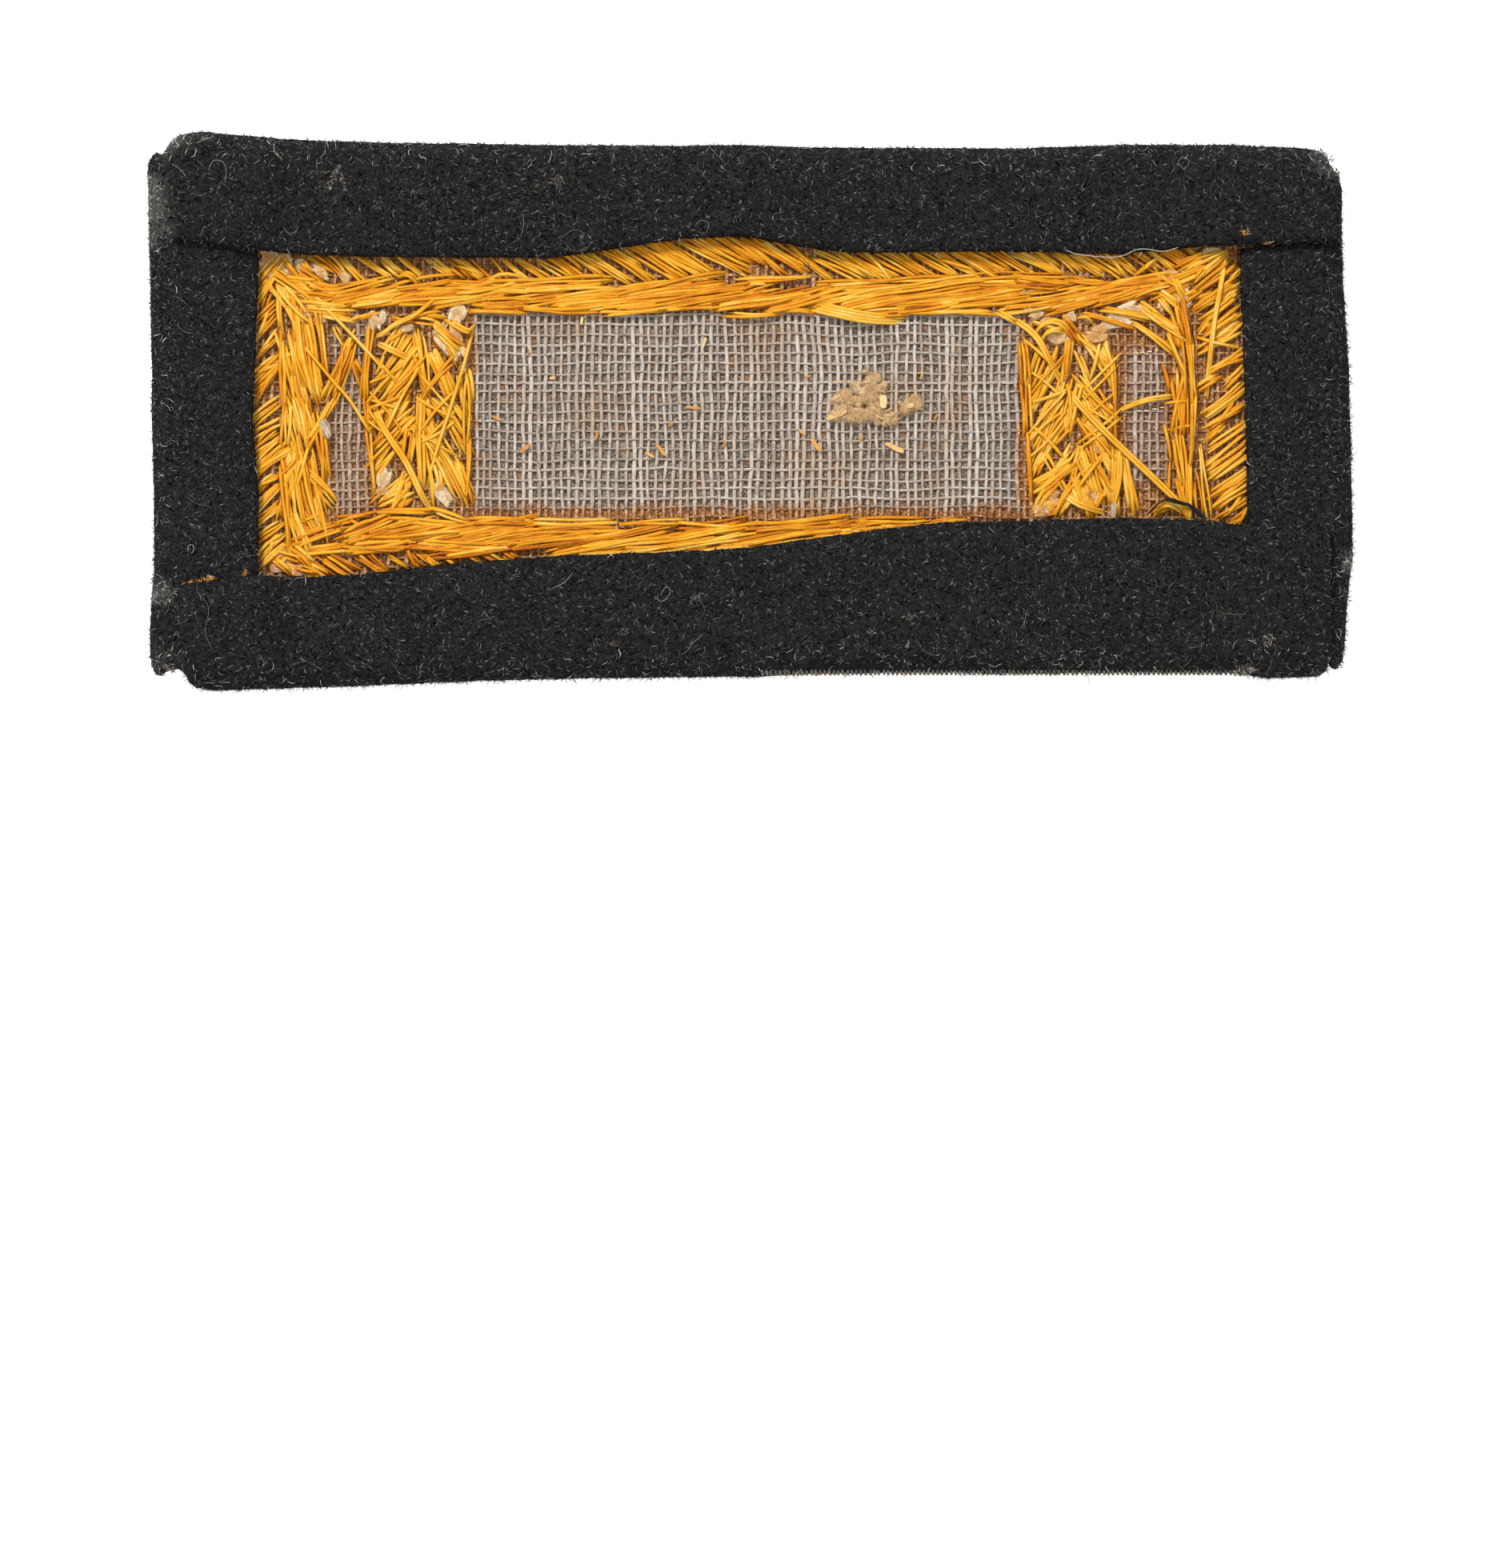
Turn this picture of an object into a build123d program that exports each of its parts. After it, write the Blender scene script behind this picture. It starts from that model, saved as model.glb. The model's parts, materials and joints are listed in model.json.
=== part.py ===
from build123d import *
import os
from collections import namedtuple

# Officer's shoulder strap, lying on its embroidered face with its reverse up.
# Millimetres. X runs along the strap, Y across it, Z up. The origin is under its middle.

# Embroidered border, as a rectangle seen from above
border_length = 99.4
border_width = 35.8
border_band = 7.5

# Wool that shows beyond the border, up to the folds
end_margin = 10.6
long_margin = 10.1

# Flaps turned back over the reverse, from the fold to the cut edge
end_flap_width = 11.0
long_flap_width = 12.0

# Thicknesses, from the face up
face_relief = 1.6
wool_thickness = 1.2
crinoline_thickness = 1.0
stitching_thickness = 0.6
layer_gap = 0.1

# Rank bars, two at each end
bar_width = 4.9
bar_gap = 0.4
left_bar_inset = 3.2
right_bar_inset = 4.8
bar_end_gap = 0.3

# Cotton padding that shows at the ends of the bars
padding_length = 2.6
padding_width = 4.1
padding_crown = 0.2

# Dried flake on the crinoline
residue_length = 7.6
residue_width = 4.6
residue_thickness = 0.45

# Smaller sizes
ramp_length = 3.0
flap_end_inset = 0.2
crinoline_inset = 0.3
border_round = 0.7
bar_round = 0.6
stitch_bevel = 0.2

# Levels of each layer
face_bottom = face_relief + layer_gap
face_top = face_bottom + wool_thickness
crinoline_bottom = face_top + layer_gap
crinoline_top = crinoline_bottom + crinoline_thickness
stitching_bottom = crinoline_top + layer_gap
stitching_top = stitching_bottom + stitching_thickness
low_flap_bottom = stitching_top + layer_gap
high_flap_bottom = low_flap_bottom + wool_thickness + layer_gap

# Outline of the folded strap
half_length = border_length / 2 + end_margin
half_width = border_width / 2 + long_margin

# Open field inside the border
field_length = border_length - 2 * border_band
field_width = border_width - 2 * border_band
bar_length = field_width - 2 * bar_end_gap

# One row for each section of an end flap.
# along: from -1 at its lower end to 1 at its upper end
# fold: distance of the fold from the middle, as a share of half_length
# reach: width of the flap, as a share of end_flap_width
EndRow = namedtuple("EndRow", "along fold reach")
LEFT_FLAP = [
    EndRow(-1.00, 0.994, 0.98),
    EndRow(-0.90, 0.997, 0.99),
    EndRow(-0.58, 0.989, 0.96),
    EndRow(-0.32, 0.990, 0.97),
    EndRow(-0.06, 0.993, 0.93),
    EndRow(0.14, 0.993, 0.95),
    EndRow(0.55, 0.996, 1.00),
    EndRow(0.92, 1.000, 1.00),
    EndRow(1.00, 0.998, 1.00),
]
RIGHT_FLAP = [
    EndRow(-1.00, 0.984, 0.96),
    EndRow(-0.84, 0.990, 0.96),
    EndRow(-0.60, 1.000, 0.97),
    EndRow(-0.20, 0.998, 0.97),
    EndRow(0.18, 0.994, 0.97),
    EndRow(0.56, 0.984, 0.95),
    EndRow(1.00, 0.979, 0.95),
]

# One row for each section of a long flap.
# zone: 0 at its left end, 1 and 2 at the top and foot of its left ramp,
#       3 and 4 at the foot and top of its right ramp, 5 at its right end
# fold: distance of the fold from the middle, as a share of half_width
# reach: width of the flap, as a share of long_flap_width
LongRow = namedtuple("LongRow", "zone fold reach")
UPPER_FLAP = [
    LongRow(0.000, 0.988, 0.85),
    LongRow(0.300, 1.000, 0.93),
    LongRow(1.000, 0.980, 0.96),
    LongRow(2.000, 0.973, 0.97),
    LongRow(2.080, 0.963, 0.97),
    LongRow(2.285, 0.954, 0.96),
    LongRow(2.360, 0.951, 0.87),
    LongRow(2.430, 0.951, 0.79),
    LongRow(2.495, 0.954, 0.78),
    LongRow(2.570, 0.944, 0.86),
    LongRow(2.620, 0.943, 0.89),
    LongRow(2.780, 0.940, 0.87),
    LongRow(2.905, 0.954, 0.93),
    LongRow(3.000, 0.953, 0.86),
    LongRow(4.000, 0.953, 0.85),
    LongRow(4.700, 0.943, 0.81),
    LongRow(5.000, 0.938, 0.78),
]
LOWER_FLAP = [
    LongRow(0.000, 0.990, 0.87),
    LongRow(0.300, 1.000, 0.93),
    LongRow(1.000, 0.994, 0.96),
    LongRow(2.000, 0.989, 0.93),
    LongRow(2.080, 0.982, 0.94),
    LongRow(2.180, 0.967, 1.00),
    LongRow(2.285, 0.957, 1.03),
    LongRow(2.430, 0.951, 1.06),
    LongRow(2.495, 0.949, 1.08),
    LongRow(2.570, 0.939, 1.14),
    LongRow(2.640, 0.934, 1.20),
    LongRow(2.710, 0.934, 1.26),
    LongRow(2.810, 0.937, 1.28),
    LongRow(2.915, 0.934, 1.30),
    LongRow(3.000, 0.934, 1.27),
    LongRow(4.000, 0.937, 1.25),
    LongRow(4.400, 0.954, 1.26),
    LongRow(5.000, 0.949, 1.23),
]

# Outline of the residue flake, as shares of half its length and half its width
FlakePoint = namedtuple("FlakePoint", "along across")
RESIDUE = [
    FlakePoint(-1.00, -0.35),
    FlakePoint(-0.70, 0.30),
    FlakePoint(-0.10, 0.95),
    FlakePoint(0.60, 1.00),
    FlakePoint(1.00, 0.40),
    FlakePoint(0.80, -0.40),
    FlakePoint(0.15, -1.00),
    FlakePoint(-0.55, -0.95),
]
residue_along = 0.27
residue_across = 0.08


def upper(along, out, z):
    return Vector(along, out, z)


def lower(along, out, z):
    return Vector(along, -out, z)


def left(along, out, z):
    return Vector(-out, along, z)


def right(along, out, z):
    return Vector(out, along, z)


def roll_radius(flap_bottom):
    """Outer radius of the fold that carries a flap at this height."""
    return (flap_bottom + wool_thickness - face_bottom) / 2


def fold_section(side, along, fold, reach, flap_bottom):
    """Section of the cloth from the face panel, round the fold, to the flap's cut edge."""
    radius = roll_radius(flap_bottom)
    flap_top = flap_bottom + wool_thickness
    start = fold - radius
    cut = fold - reach
    middle = face_bottom + radius
    outer_low = side(along, start, face_bottom)
    outer_high = side(along, start, flap_top)
    inner_low = side(along, start, face_top)
    inner_high = side(along, start, flap_bottom)
    cut_high = side(along, cut, flap_top)
    cut_low = side(along, cut, flap_bottom)
    edges = [
        ThreePointArc(outer_low, side(along, fold, middle), outer_high),
        Line(outer_high, cut_high),
        Line(cut_high, cut_low),
        Line(cut_low, inner_high),
        ThreePointArc(inner_high, side(along, fold - wool_thickness, middle), inner_low),
        Line(inner_low, outer_low),
    ]
    return Face(Wire(edges))


def folded_flap(side, sections):
    """One fold with its flap, lofted through its sections."""
    faces = [fold_section(side, *section) for section in sections]
    return loft(faces, ruled=True)


def roll_centres(side, sections):
    """Where the fold's roll starts, in plan: the edge that it shares with the face panel."""
    spots = [side(along, fold - roll_radius(height), 0) for along, fold, reach, height in sections]
    return [(spot.X, spot.Y) for spot in spots]


def end_sections(rows, upper_end, lower_end):
    """Sections of an end flap, from its lower end to its upper end."""
    middle = (upper_end + lower_end) / 2
    half_run = (upper_end - lower_end) / 2
    return [
        (middle + row.along * half_run, row.fold * half_length, row.reach * end_flap_width,
         low_flap_bottom)
        for row in rows
    ]


def long_sections(rows, left_end, right_end, left_step, right_step):
    """Sections of a long flap, from left to right, over the end flaps and down between them."""
    stops = [
        left_end,
        left_step,
        left_step + ramp_length,
        right_step - ramp_length,
        right_step,
        right_end,
    ]
    sections = []
    for row in rows:
        zone = min(int(row.zone), len(stops) - 2)
        along = stops[zone] + (row.zone - zone) * (stops[zone + 1] - stops[zone])
        raised = row.zone <= 1 or row.zone >= 4
        height = high_flap_bottom if raised else low_flap_bottom
        sections.append((along, row.fold * half_width, row.reach * long_flap_width, height))
    return sections


def long_flap_end(rows, end_row):
    """Distance of a long flap's end from the middle: just inside the end fold's roll."""
    return end_row.fold * half_length - roll_radius(low_flap_bottom) - flap_end_inset


def innermost_cut(rows):
    """Distance from the middle to the cut edge of an end flap where it reaches furthest in."""
    return min(row.fold * half_length - row.reach * end_flap_width for row in rows)


def rectangle_ring(length, width, band, bottom, thickness):
    """A flat mitred band round an open field."""
    outer = Rectangle(length, width)
    inner = Rectangle(length - 2 * band, width - 2 * band)
    return Pos(0, 0, bottom) * extrude(outer - inner, thickness)


def edges_at(shape, height):
    """The edges that lie at one height."""
    return shape.edges().filter_by_position(Axis.Z, height, height)


# Where the four corners come: the end flaps stop inside the rolls of the long flaps
corner_radius = roll_radius(high_flap_bottom)
upper_left_end = UPPER_FLAP[0].fold * half_width - corner_radius
upper_right_end = UPPER_FLAP[-1].fold * half_width - corner_radius
lower_left_end = corner_radius - LOWER_FLAP[0].fold * half_width
lower_right_end = corner_radius - LOWER_FLAP[-1].fold * half_width

left_sections = end_sections(LEFT_FLAP, upper_left_end, lower_left_end)
right_sections = end_sections(RIGHT_FLAP, upper_right_end, lower_right_end)
left_step = layer_gap - innermost_cut(LEFT_FLAP)
right_step = innermost_cut(RIGHT_FLAP) - layer_gap
upper_sections = long_sections(
    UPPER_FLAP,
    -long_flap_end(UPPER_FLAP, LEFT_FLAP[-1]),
    long_flap_end(UPPER_FLAP, RIGHT_FLAP[-1]),
    left_step,
    right_step,
)
lower_sections = long_sections(
    LOWER_FLAP,
    -long_flap_end(LOWER_FLAP, LEFT_FLAP[0]),
    long_flap_end(LOWER_FLAP, RIGHT_FLAP[0]),
    left_step,
    right_step,
)


def wool_cover():
    """The face panel with its four flaps, as one piece of cloth."""
    outline = roll_centres(left, left_sections)
    outline += roll_centres(upper, upper_sections)
    outline += reversed(roll_centres(right, right_sections))
    outline += reversed(roll_centres(lower, lower_sections))
    panel = extrude(Polygon(*outline, align=None), wool_thickness, dir=(0, 0, 1))
    panel = Pos(0, 0, face_bottom) * panel
    cover = panel + folded_flap(left, left_sections)
    cover += folded_flap(right, right_sections)
    cover += folded_flap(upper, upper_sections)
    cover += folded_flap(lower, lower_sections)
    return cover


def crinoline():
    """The stiff backing, reaching to just inside the rolls of the folds."""
    reach_left = min(fold - roll_radius(height) for _, fold, _, height in left_sections)
    reach_right = min(fold - roll_radius(height) for _, fold, _, height in right_sections)
    reach_up = min(fold - roll_radius(height) for _, fold, _, height in upper_sections)
    reach_down = min(fold - roll_radius(height) for _, fold, _, height in lower_sections)
    length = reach_left + reach_right - 2 * crinoline_inset
    width = reach_up + reach_down - 2 * crinoline_inset
    middle_x = (reach_right - reach_left) / 2
    middle_y = (reach_up - reach_down) / 2
    sheet = Box(length, width, crinoline_thickness, align=(Align.CENTER, Align.CENTER, Align.MIN))
    return Pos(middle_x, middle_y, crinoline_bottom) * sheet


def border_stitching():
    """The silk on the reverse of the border."""
    ring = rectangle_ring(border_length, border_width, border_band, stitching_bottom, stitching_thickness)
    return chamfer(edges_at(ring, stitching_top), stitch_bevel)


def face_border():
    """The raised gold border on the face, flat where the strap rests on it."""
    ring = rectangle_ring(border_length, border_width, border_band, 0, face_relief)
    return fillet(edges_at(ring, 0), border_round)


def bar_middles():
    """Middle of each bar along the strap, from left to right."""
    first = bar_width / 2
    second = first + bar_width + bar_gap
    from_left = left_bar_inset - field_length / 2
    from_right = field_length / 2 - right_bar_inset
    return [from_left + first, from_left + second, from_right - second, from_right - first]


def bar_stitching(middle):
    """The silk on the reverse of one bar, between its padding ends."""
    length = bar_length - 2 * (padding_length + layer_gap)
    block = Box(bar_width, length, stitching_thickness, align=(Align.CENTER, Align.CENTER, Align.MIN))
    block = Pos(middle, 0, stitching_bottom) * block
    return chamfer(edges_at(block, stitching_top), stitch_bevel)


def padding_end(middle, way):
    """The tuft of cotton at one end of a bar."""
    tuft = extrude(Ellipse(padding_width / 2, padding_length / 2), stitching_thickness)
    tuft = Pos(middle, way * (bar_length - padding_length) / 2, stitching_bottom) * tuft
    return chamfer(edges_at(tuft, stitching_top), padding_crown)


def face_bar(middle):
    """One raised gold bar on the face."""
    bar = Box(bar_width, bar_length, face_relief, align=(Align.CENTER, Align.CENTER, Align.MIN))
    bar = Pos(middle, 0, 0) * bar
    return fillet(edges_at(bar, 0), bar_round)


def residue_flake():
    """The dried flake that sticks to the crinoline."""
    spots = [(p.along * residue_length / 2, p.across * residue_width / 2) for p in RESIDUE]
    flake = extrude(Polygon(*spots, align=None), residue_thickness, dir=(0, 0, 1))
    place_x = residue_along * field_length / 2
    place_y = residue_across * field_width / 2
    return Pos(place_x, place_y, crinoline_top + layer_gap) * flake


os.makedirs("parts", exist_ok=True)
pieces = {
    "wool_cover": wool_cover(),
    "crinoline": crinoline(),
    "border_stitching": border_stitching(),
    "residue_flake": residue_flake(),
    "face_border": face_border(),
}
for number, middle in enumerate(bar_middles(), start=1):
    pieces[f"bar_stitching_{number}"] = bar_stitching(middle)
    pieces[f"padding_upper_{number}"] = padding_end(middle, 1)
    pieces[f"padding_lower_{number}"] = padding_end(middle, -1)
    pieces[f"face_bar_{number}"] = face_bar(middle)

for name, piece in pieces.items():
    export_step(piece, f"parts/{name}.step")
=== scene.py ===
import json
import math
import random
from collections import namedtuple

import bpy
import numpy as np
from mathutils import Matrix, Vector, noise
from mathutils.bvhtree import BVHTree

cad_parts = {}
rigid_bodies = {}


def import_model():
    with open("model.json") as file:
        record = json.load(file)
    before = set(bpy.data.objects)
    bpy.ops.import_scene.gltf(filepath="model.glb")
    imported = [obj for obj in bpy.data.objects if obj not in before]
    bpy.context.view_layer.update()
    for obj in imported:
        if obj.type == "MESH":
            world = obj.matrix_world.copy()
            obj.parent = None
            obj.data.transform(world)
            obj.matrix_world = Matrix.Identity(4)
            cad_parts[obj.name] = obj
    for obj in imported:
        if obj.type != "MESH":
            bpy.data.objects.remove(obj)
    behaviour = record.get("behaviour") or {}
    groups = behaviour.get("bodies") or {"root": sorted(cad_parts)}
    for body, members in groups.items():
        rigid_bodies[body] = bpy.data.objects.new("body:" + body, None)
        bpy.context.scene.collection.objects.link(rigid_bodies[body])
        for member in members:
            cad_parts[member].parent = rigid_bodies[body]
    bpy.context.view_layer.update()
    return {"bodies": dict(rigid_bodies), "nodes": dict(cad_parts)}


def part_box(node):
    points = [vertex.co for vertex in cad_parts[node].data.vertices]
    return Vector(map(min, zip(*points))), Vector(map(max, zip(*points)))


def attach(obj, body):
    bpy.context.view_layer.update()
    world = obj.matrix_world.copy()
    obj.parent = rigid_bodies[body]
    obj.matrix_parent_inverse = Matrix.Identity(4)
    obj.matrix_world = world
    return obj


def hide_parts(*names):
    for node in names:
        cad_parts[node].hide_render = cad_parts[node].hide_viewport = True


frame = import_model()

bl_info = {
    "name": "Shoulder strap maker",
    "version": (1, 0, 0),
    "blender": (4, 5, 0),
    "location": "View3D > Sidebar > Strap",
    "description": "Dresses an embroidered wool shoulder strap that lies with its reverse up",
    "category": "Object",
}

# Places and sizes below are in millimetres until a mesh is made
MM = 0.001
BODY = next(iter(frame["bodies"]))

# The photograph, seen straight from above
PHOTO_SCALE = 12.5
PHOTO_ZERO_X = 937.5
PHOTO_ZERO_Y = 514.0
PHOTO_WIDTH = 1876
PHOTO_HEIGHT = 1960


def seen(photo_x, photo_y):
    """The place in millimetres of a pixel of the photograph."""
    return (photo_x - PHOTO_ZERO_X) / PHOTO_SCALE, (PHOTO_ZERO_Y - photo_y) / PHOTO_SCALE


def node_box(node):
    """Lowest and highest corner of a CAD node, in millimetres."""
    low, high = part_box(node)
    return low / MM, high / MM


def smooth(share):
    """Eases a share from 0 to 1."""
    share = min(max(share, 0.0), 1.0)
    return share * share * (3 - 2 * share)


def mix(first, second, share):
    return first + (second - first) * share


def wander(x, y, z=0.0):
    """Smooth noise from -1 to 1."""
    return noise.noise(Vector((x, y, z)))


def paint(red, green, blue):
    """A colour given as a screen shows it, from 0 to 255, made linear."""
    def linear(level):
        level /= 255
        return level / 12.92 if level <= 0.04045 else ((level + 0.055) / 1.055) ** 2.4
    return linear(red), linear(green), linear(blue)


# Levels of the layers, read from the frame
PANEL_BOTTOM = node_box("wool_cover")[0].z
MESH_BOTTOM = node_box("crinoline")[0].z
MESH_TOP = node_box("crinoline")[1].z
SILK_BOTTOM = node_box("border_stitching")[0].z
SILK_TOP = node_box("border_stitching")[1].z


def turned_place(x, y, along, across, turn):
    """A place moved along and across a line that is turned from X."""
    return (
        x + along * math.cos(turn) - across * math.sin(turn),
        y + along * math.sin(turn) + across * math.cos(turn),
    )


def rows_of(kind, *rows):
    """A table of plain rows, as named tuples of one kind."""
    return tuple(kind(*row) for row in rows)


def settings():
    return bpy.context.scene.shoulder_strap


def material_of(name):
    """A material that was made earlier, or is made now by its own function."""
    return bpy.data.materials.get(name) or MATERIALS[name](name)


class Wire:
    """One output of a node. Sums on it add Math nodes."""

    def __init__(self, board, node, key=None):
        self.board = board
        self.node = node
        self.socket = find_socket(node.outputs, key)

    def out(self, key):
        """Another output of the same node."""
        return Wire(self.board, self.node, key)

    def math(self, operation, first, second=0.0):
        return self.board.node("ShaderNodeMath", {"operation": operation}, {0: first, 1: second})

    def __add__(self, other):
        return self.math("ADD", self, other)

    def __sub__(self, other):
        return self.math("SUBTRACT", self, other)

    def __mul__(self, other):
        return self.math("MULTIPLY", self, other)

    def __truediv__(self, other):
        return self.math("DIVIDE", self, other)

    def __pow__(self, other):
        return self.math("POWER", self, other)

    def __rsub__(self, other):
        return self.math("SUBTRACT", other, self)

    __radd__ = __add__
    __rmul__ = __mul__

    def least(self, other):
        return self.math("MINIMUM", self, other)

    def most(self, other):
        return self.math("MAXIMUM", self, other)

    def size(self):
        return self.math("ABSOLUTE", self)


def find_socket(sockets, key):
    """A socket by number or name, or the first one in use."""
    if isinstance(key, int):
        return sockets[key]
    return next(s for s in sockets if s.enabled and key in (None, s.name))


class Board:
    """Adds nodes to a tree and joins them."""

    def __init__(self, tree):
        self.tree = tree

    def node(self, kind, options=None, sockets=None, key=None):
        """Adds a node, sets its options, feeds its sockets and returns one of its outputs."""
        made = self.tree.nodes.new(kind)
        options = dict(options or {})
        stops = options.pop("stops", ())
        for name, value in options.items():
            setattr(made, name, value)
        for number, (place, colour) in enumerate(stops):
            ramp = made.color_ramp.elements
            stop = ramp[number] if number < 2 else ramp.new(place)
            stop.position = place
            stop.color = (*colour, 1.0)
        for name, value in (sockets or {}).items():
            self.feed(find_socket(made.inputs, name), value)
        return Wire(self, made, key)

    def feed(self, socket, value):
        """Links a wire to a socket, or sets the socket's own value."""
        if isinstance(value, Wire):
            self.tree.links.new(value.socket, socket)
        elif socket.type == "RGBA":
            socket.default_value = (*value[:3], 1.0)
        else:
            socket.default_value = value


class Shade(Board):
    """Builds one material round a Principled shader."""

    def __init__(self, name):
        self.material = bpy.data.materials.new(name)
        self.material.use_nodes = True
        super().__init__(self.material.node_tree)
        self.shader = self.tree.nodes["Principled BSDF"]

    def set(self, **sockets):
        """Sets or links the shader's sockets; an underscore stands for a space."""
        for name, value in sockets.items():
            self.feed(self.shader.inputs[name.replace("_", " ")], value)

    def finish(self, colour, roughness, specular):
        """Gives the shader its colour and gloss and returns the material."""
        self.set(Base_Color=colour, Roughness=roughness, Specular_IOR_Level=specular)
        return self.material

    def place(self):
        """Object coordinates in millimetres."""
        spot = self.node("ShaderNodeTexCoord", key="Object")
        return self.scaled(spot, (1 / MM, 1 / MM, 1 / MM))

    def math(self, operation, value):
        return self.node("ShaderNodeMath", {"operation": operation}, {0: value})

    def scaled(self, spot, scale):
        return self.node("ShaderNodeVectorMath", {"operation": "MULTIPLY"}, {0: spot, 1: scale})

    def turned(self, spot, angle, scale):
        """Coordinates turned about Z and then stretched."""
        return self.node(
            "ShaderNodeMapping",
            {"vector_type": "TEXTURE"},
            {"Vector": spot, "Rotation": (0, 0, angle), "Scale": tuple(1 / s for s in scale)},
        )

    def noise(self, spot, scale, detail=2.0, roughness=0.5):
        sockets = {"Vector": spot, "Scale": scale, "Detail": detail, "Roughness": roughness}
        return self.node("ShaderNodeTexNoise", {}, sockets)

    def parts(self, spot):
        """The three coordinates of a place."""
        split = self.node("ShaderNodeSeparateXYZ", {}, {0: spot})
        return split, split.out("Y"), split.out("Z")

    def value_of(self, name):
        """A number that the mesh carries."""
        return self.node("ShaderNodeAttribute", {"attribute_name": name}, key="Fac")

    def vector_of(self, name):
        """A vector that the mesh carries."""
        return self.node("ShaderNodeAttribute", {"attribute_name": name}, key="Vector")

    def ramp(self, factor, *stops):
        """A run of colours; each stop is a place and a colour, as a screen shows it or made linear."""
        stops = [(place, paint(*colour) if len(colour) == 3 else colour[0]) for place, *colour in stops]
        return self.node("ShaderNodeValToRGB", {"stops": stops}, {0: factor}, "Color")

    def step(self, factor, low, high):
        """0 below low, 1 above high and smooth between them."""
        sockets = {"Value": factor, "From Min": low, "From Max": high}
        return self.node("ShaderNodeMapRange", {"interpolation_type": "SMOOTHSTEP"}, sockets)

    def blend(self, factor, first, second):
        """Two colours mixed."""
        return self.node("ShaderNodeMix", {"data_type": "RGBA"}, {0: factor, 6: first, 7: second})

    def bump(self, height, distance, strength=1.0):
        """A relief in millimetres."""
        sockets = {"Height": height, "Distance": distance * MM, "Strength": strength}
        self.set(Normal=self.node("ShaderNodeBump", {}, sockets))


def strands_pattern(shade, spot, angles, length, width):
    """Fine light lines laid in several directions, as on felted or matted fibres."""
    bend = shade.node("ShaderNodeTexNoise", {}, {"Vector": spot, "Scale": 0.9}, "Color")
    sway = shade.scaled(bend, (1.6, 1.6, 0))
    spot = shade.node("ShaderNodeVectorMath", {"operation": "ADD"}, {0: spot, 1: sway})
    found = None
    for angle in angles:
        line = shade.noise(shade.turned(spot, math.radians(angle), (1 / length, 1 / width, 1 / width)), 1.0)
        ridge = (1 - (line - 0.5).size() * 14).most(0.0)
        found = ridge if found is None else found.most(ridge)
    return found


def wool_cloth_material(name):
    """Dark felted wool: matted fibres, a soft mottle and paler worn folds."""
    strap = settings()
    shade = Shade(name)
    spot = shade.place()
    mottle = shade.noise(spot, 0.16, 3.0)
    lines = strands_pattern(shade, spot, (14, 78, 128), 1.3, 0.1)
    colour = shade.blend(lines * 0.65, strap.wool_colour, strap.wool_fibre_colour)
    colour = shade.blend(shade.step(mottle, 0.4, 0.7) * 0.1, colour, paint(62, 62, 62))
    wear = shade.value_of("wear") * (0.3 + lines + shade.noise(spot, 3.0, 2.0) * 0.8)
    colour = shade.blend(wear.least(1.0) * 0.35, colour, paint(150, 147, 141))
    shade.bump(lines, 0.08, 0.8)
    return shade.finish(colour, 1.0, 0.02)


def wool_fibre_material(name):
    """Single wool fibres, from black to grey, with a few white and brown ones; paler where it is worn."""
    shade = Shade(name)
    cluster = shade.noise(shade.place(), 2.6, 2.0, 0.6) - 0.5
    tone = shade.value_of("tint") * 0.5 + cluster * 0.05 - 0.06
    colour = shade.ramp(
        tone,
        (0.0, 24, 24, 25), (0.18, 36, 36, 37), (0.3, 58, 58, 58), (0.38, 96, 95, 93),
        (0.45, 144, 142, 138), (0.48, 184, 181, 176), (0.496, 200, 197, 192), (0.498, 104, 62, 42),
        (0.4998, 88, 44, 34), (0.501, 112, 110, 108), (1.0, 232, 228, 220),
    )
    return shade.finish(colour, 0.8, 0.05)


# Plain fibres: their roughness, their specular level and the colours that their tint runs through
PLAIN_FIBRES = {
    "dark_wool_hair": (
        0.7, 0.1, (0.0, 20, 20, 21), (0.45, 46, 46, 46), (0.8, 116, 114, 111), (1.0, 218, 214, 208),
    ),
    "pale_fibre": (
        0.7, 0.2, (0.0, 224, 146, 50), (0.35, 240, 184, 98), (0.7, 248, 212, 148), (1.0, 253, 236, 202),
    ),
    "residue_fibre": (
        0.8, 0.15, (0.0, 222, 164, 104), (0.5, 250, 214, 158), (1.0, 255, 242, 208),
    ),
}


def plain_fibre_material(name):
    """Fibres in one run of colours, which their tint picks from."""
    roughness, specular, *stops = PLAIN_FIBRES[name]
    shade = Shade(name)
    return shade.finish(shade.ramp(shade.value_of("tint"), *stops), roughness, specular)


def grey_fibre_material(name):
    """Grey lint; tint runs from charcoal to nearly white."""
    shade = Shade(name)
    tint = shade.value_of("tint")
    streak = shade.noise(shade.turned(shade.place(), 1.9, (0.6, 5.0, 5.0)), 1.0, 2.0)
    colour = shade.ramp(
        tint + (streak - 0.5) * 0.5,
        (0.0, 44, 42, 41), (0.5, 138, 128, 118), (1.0, 224, 218, 208),
    )
    return shade.finish(colour, 0.75, 0.2)


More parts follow.
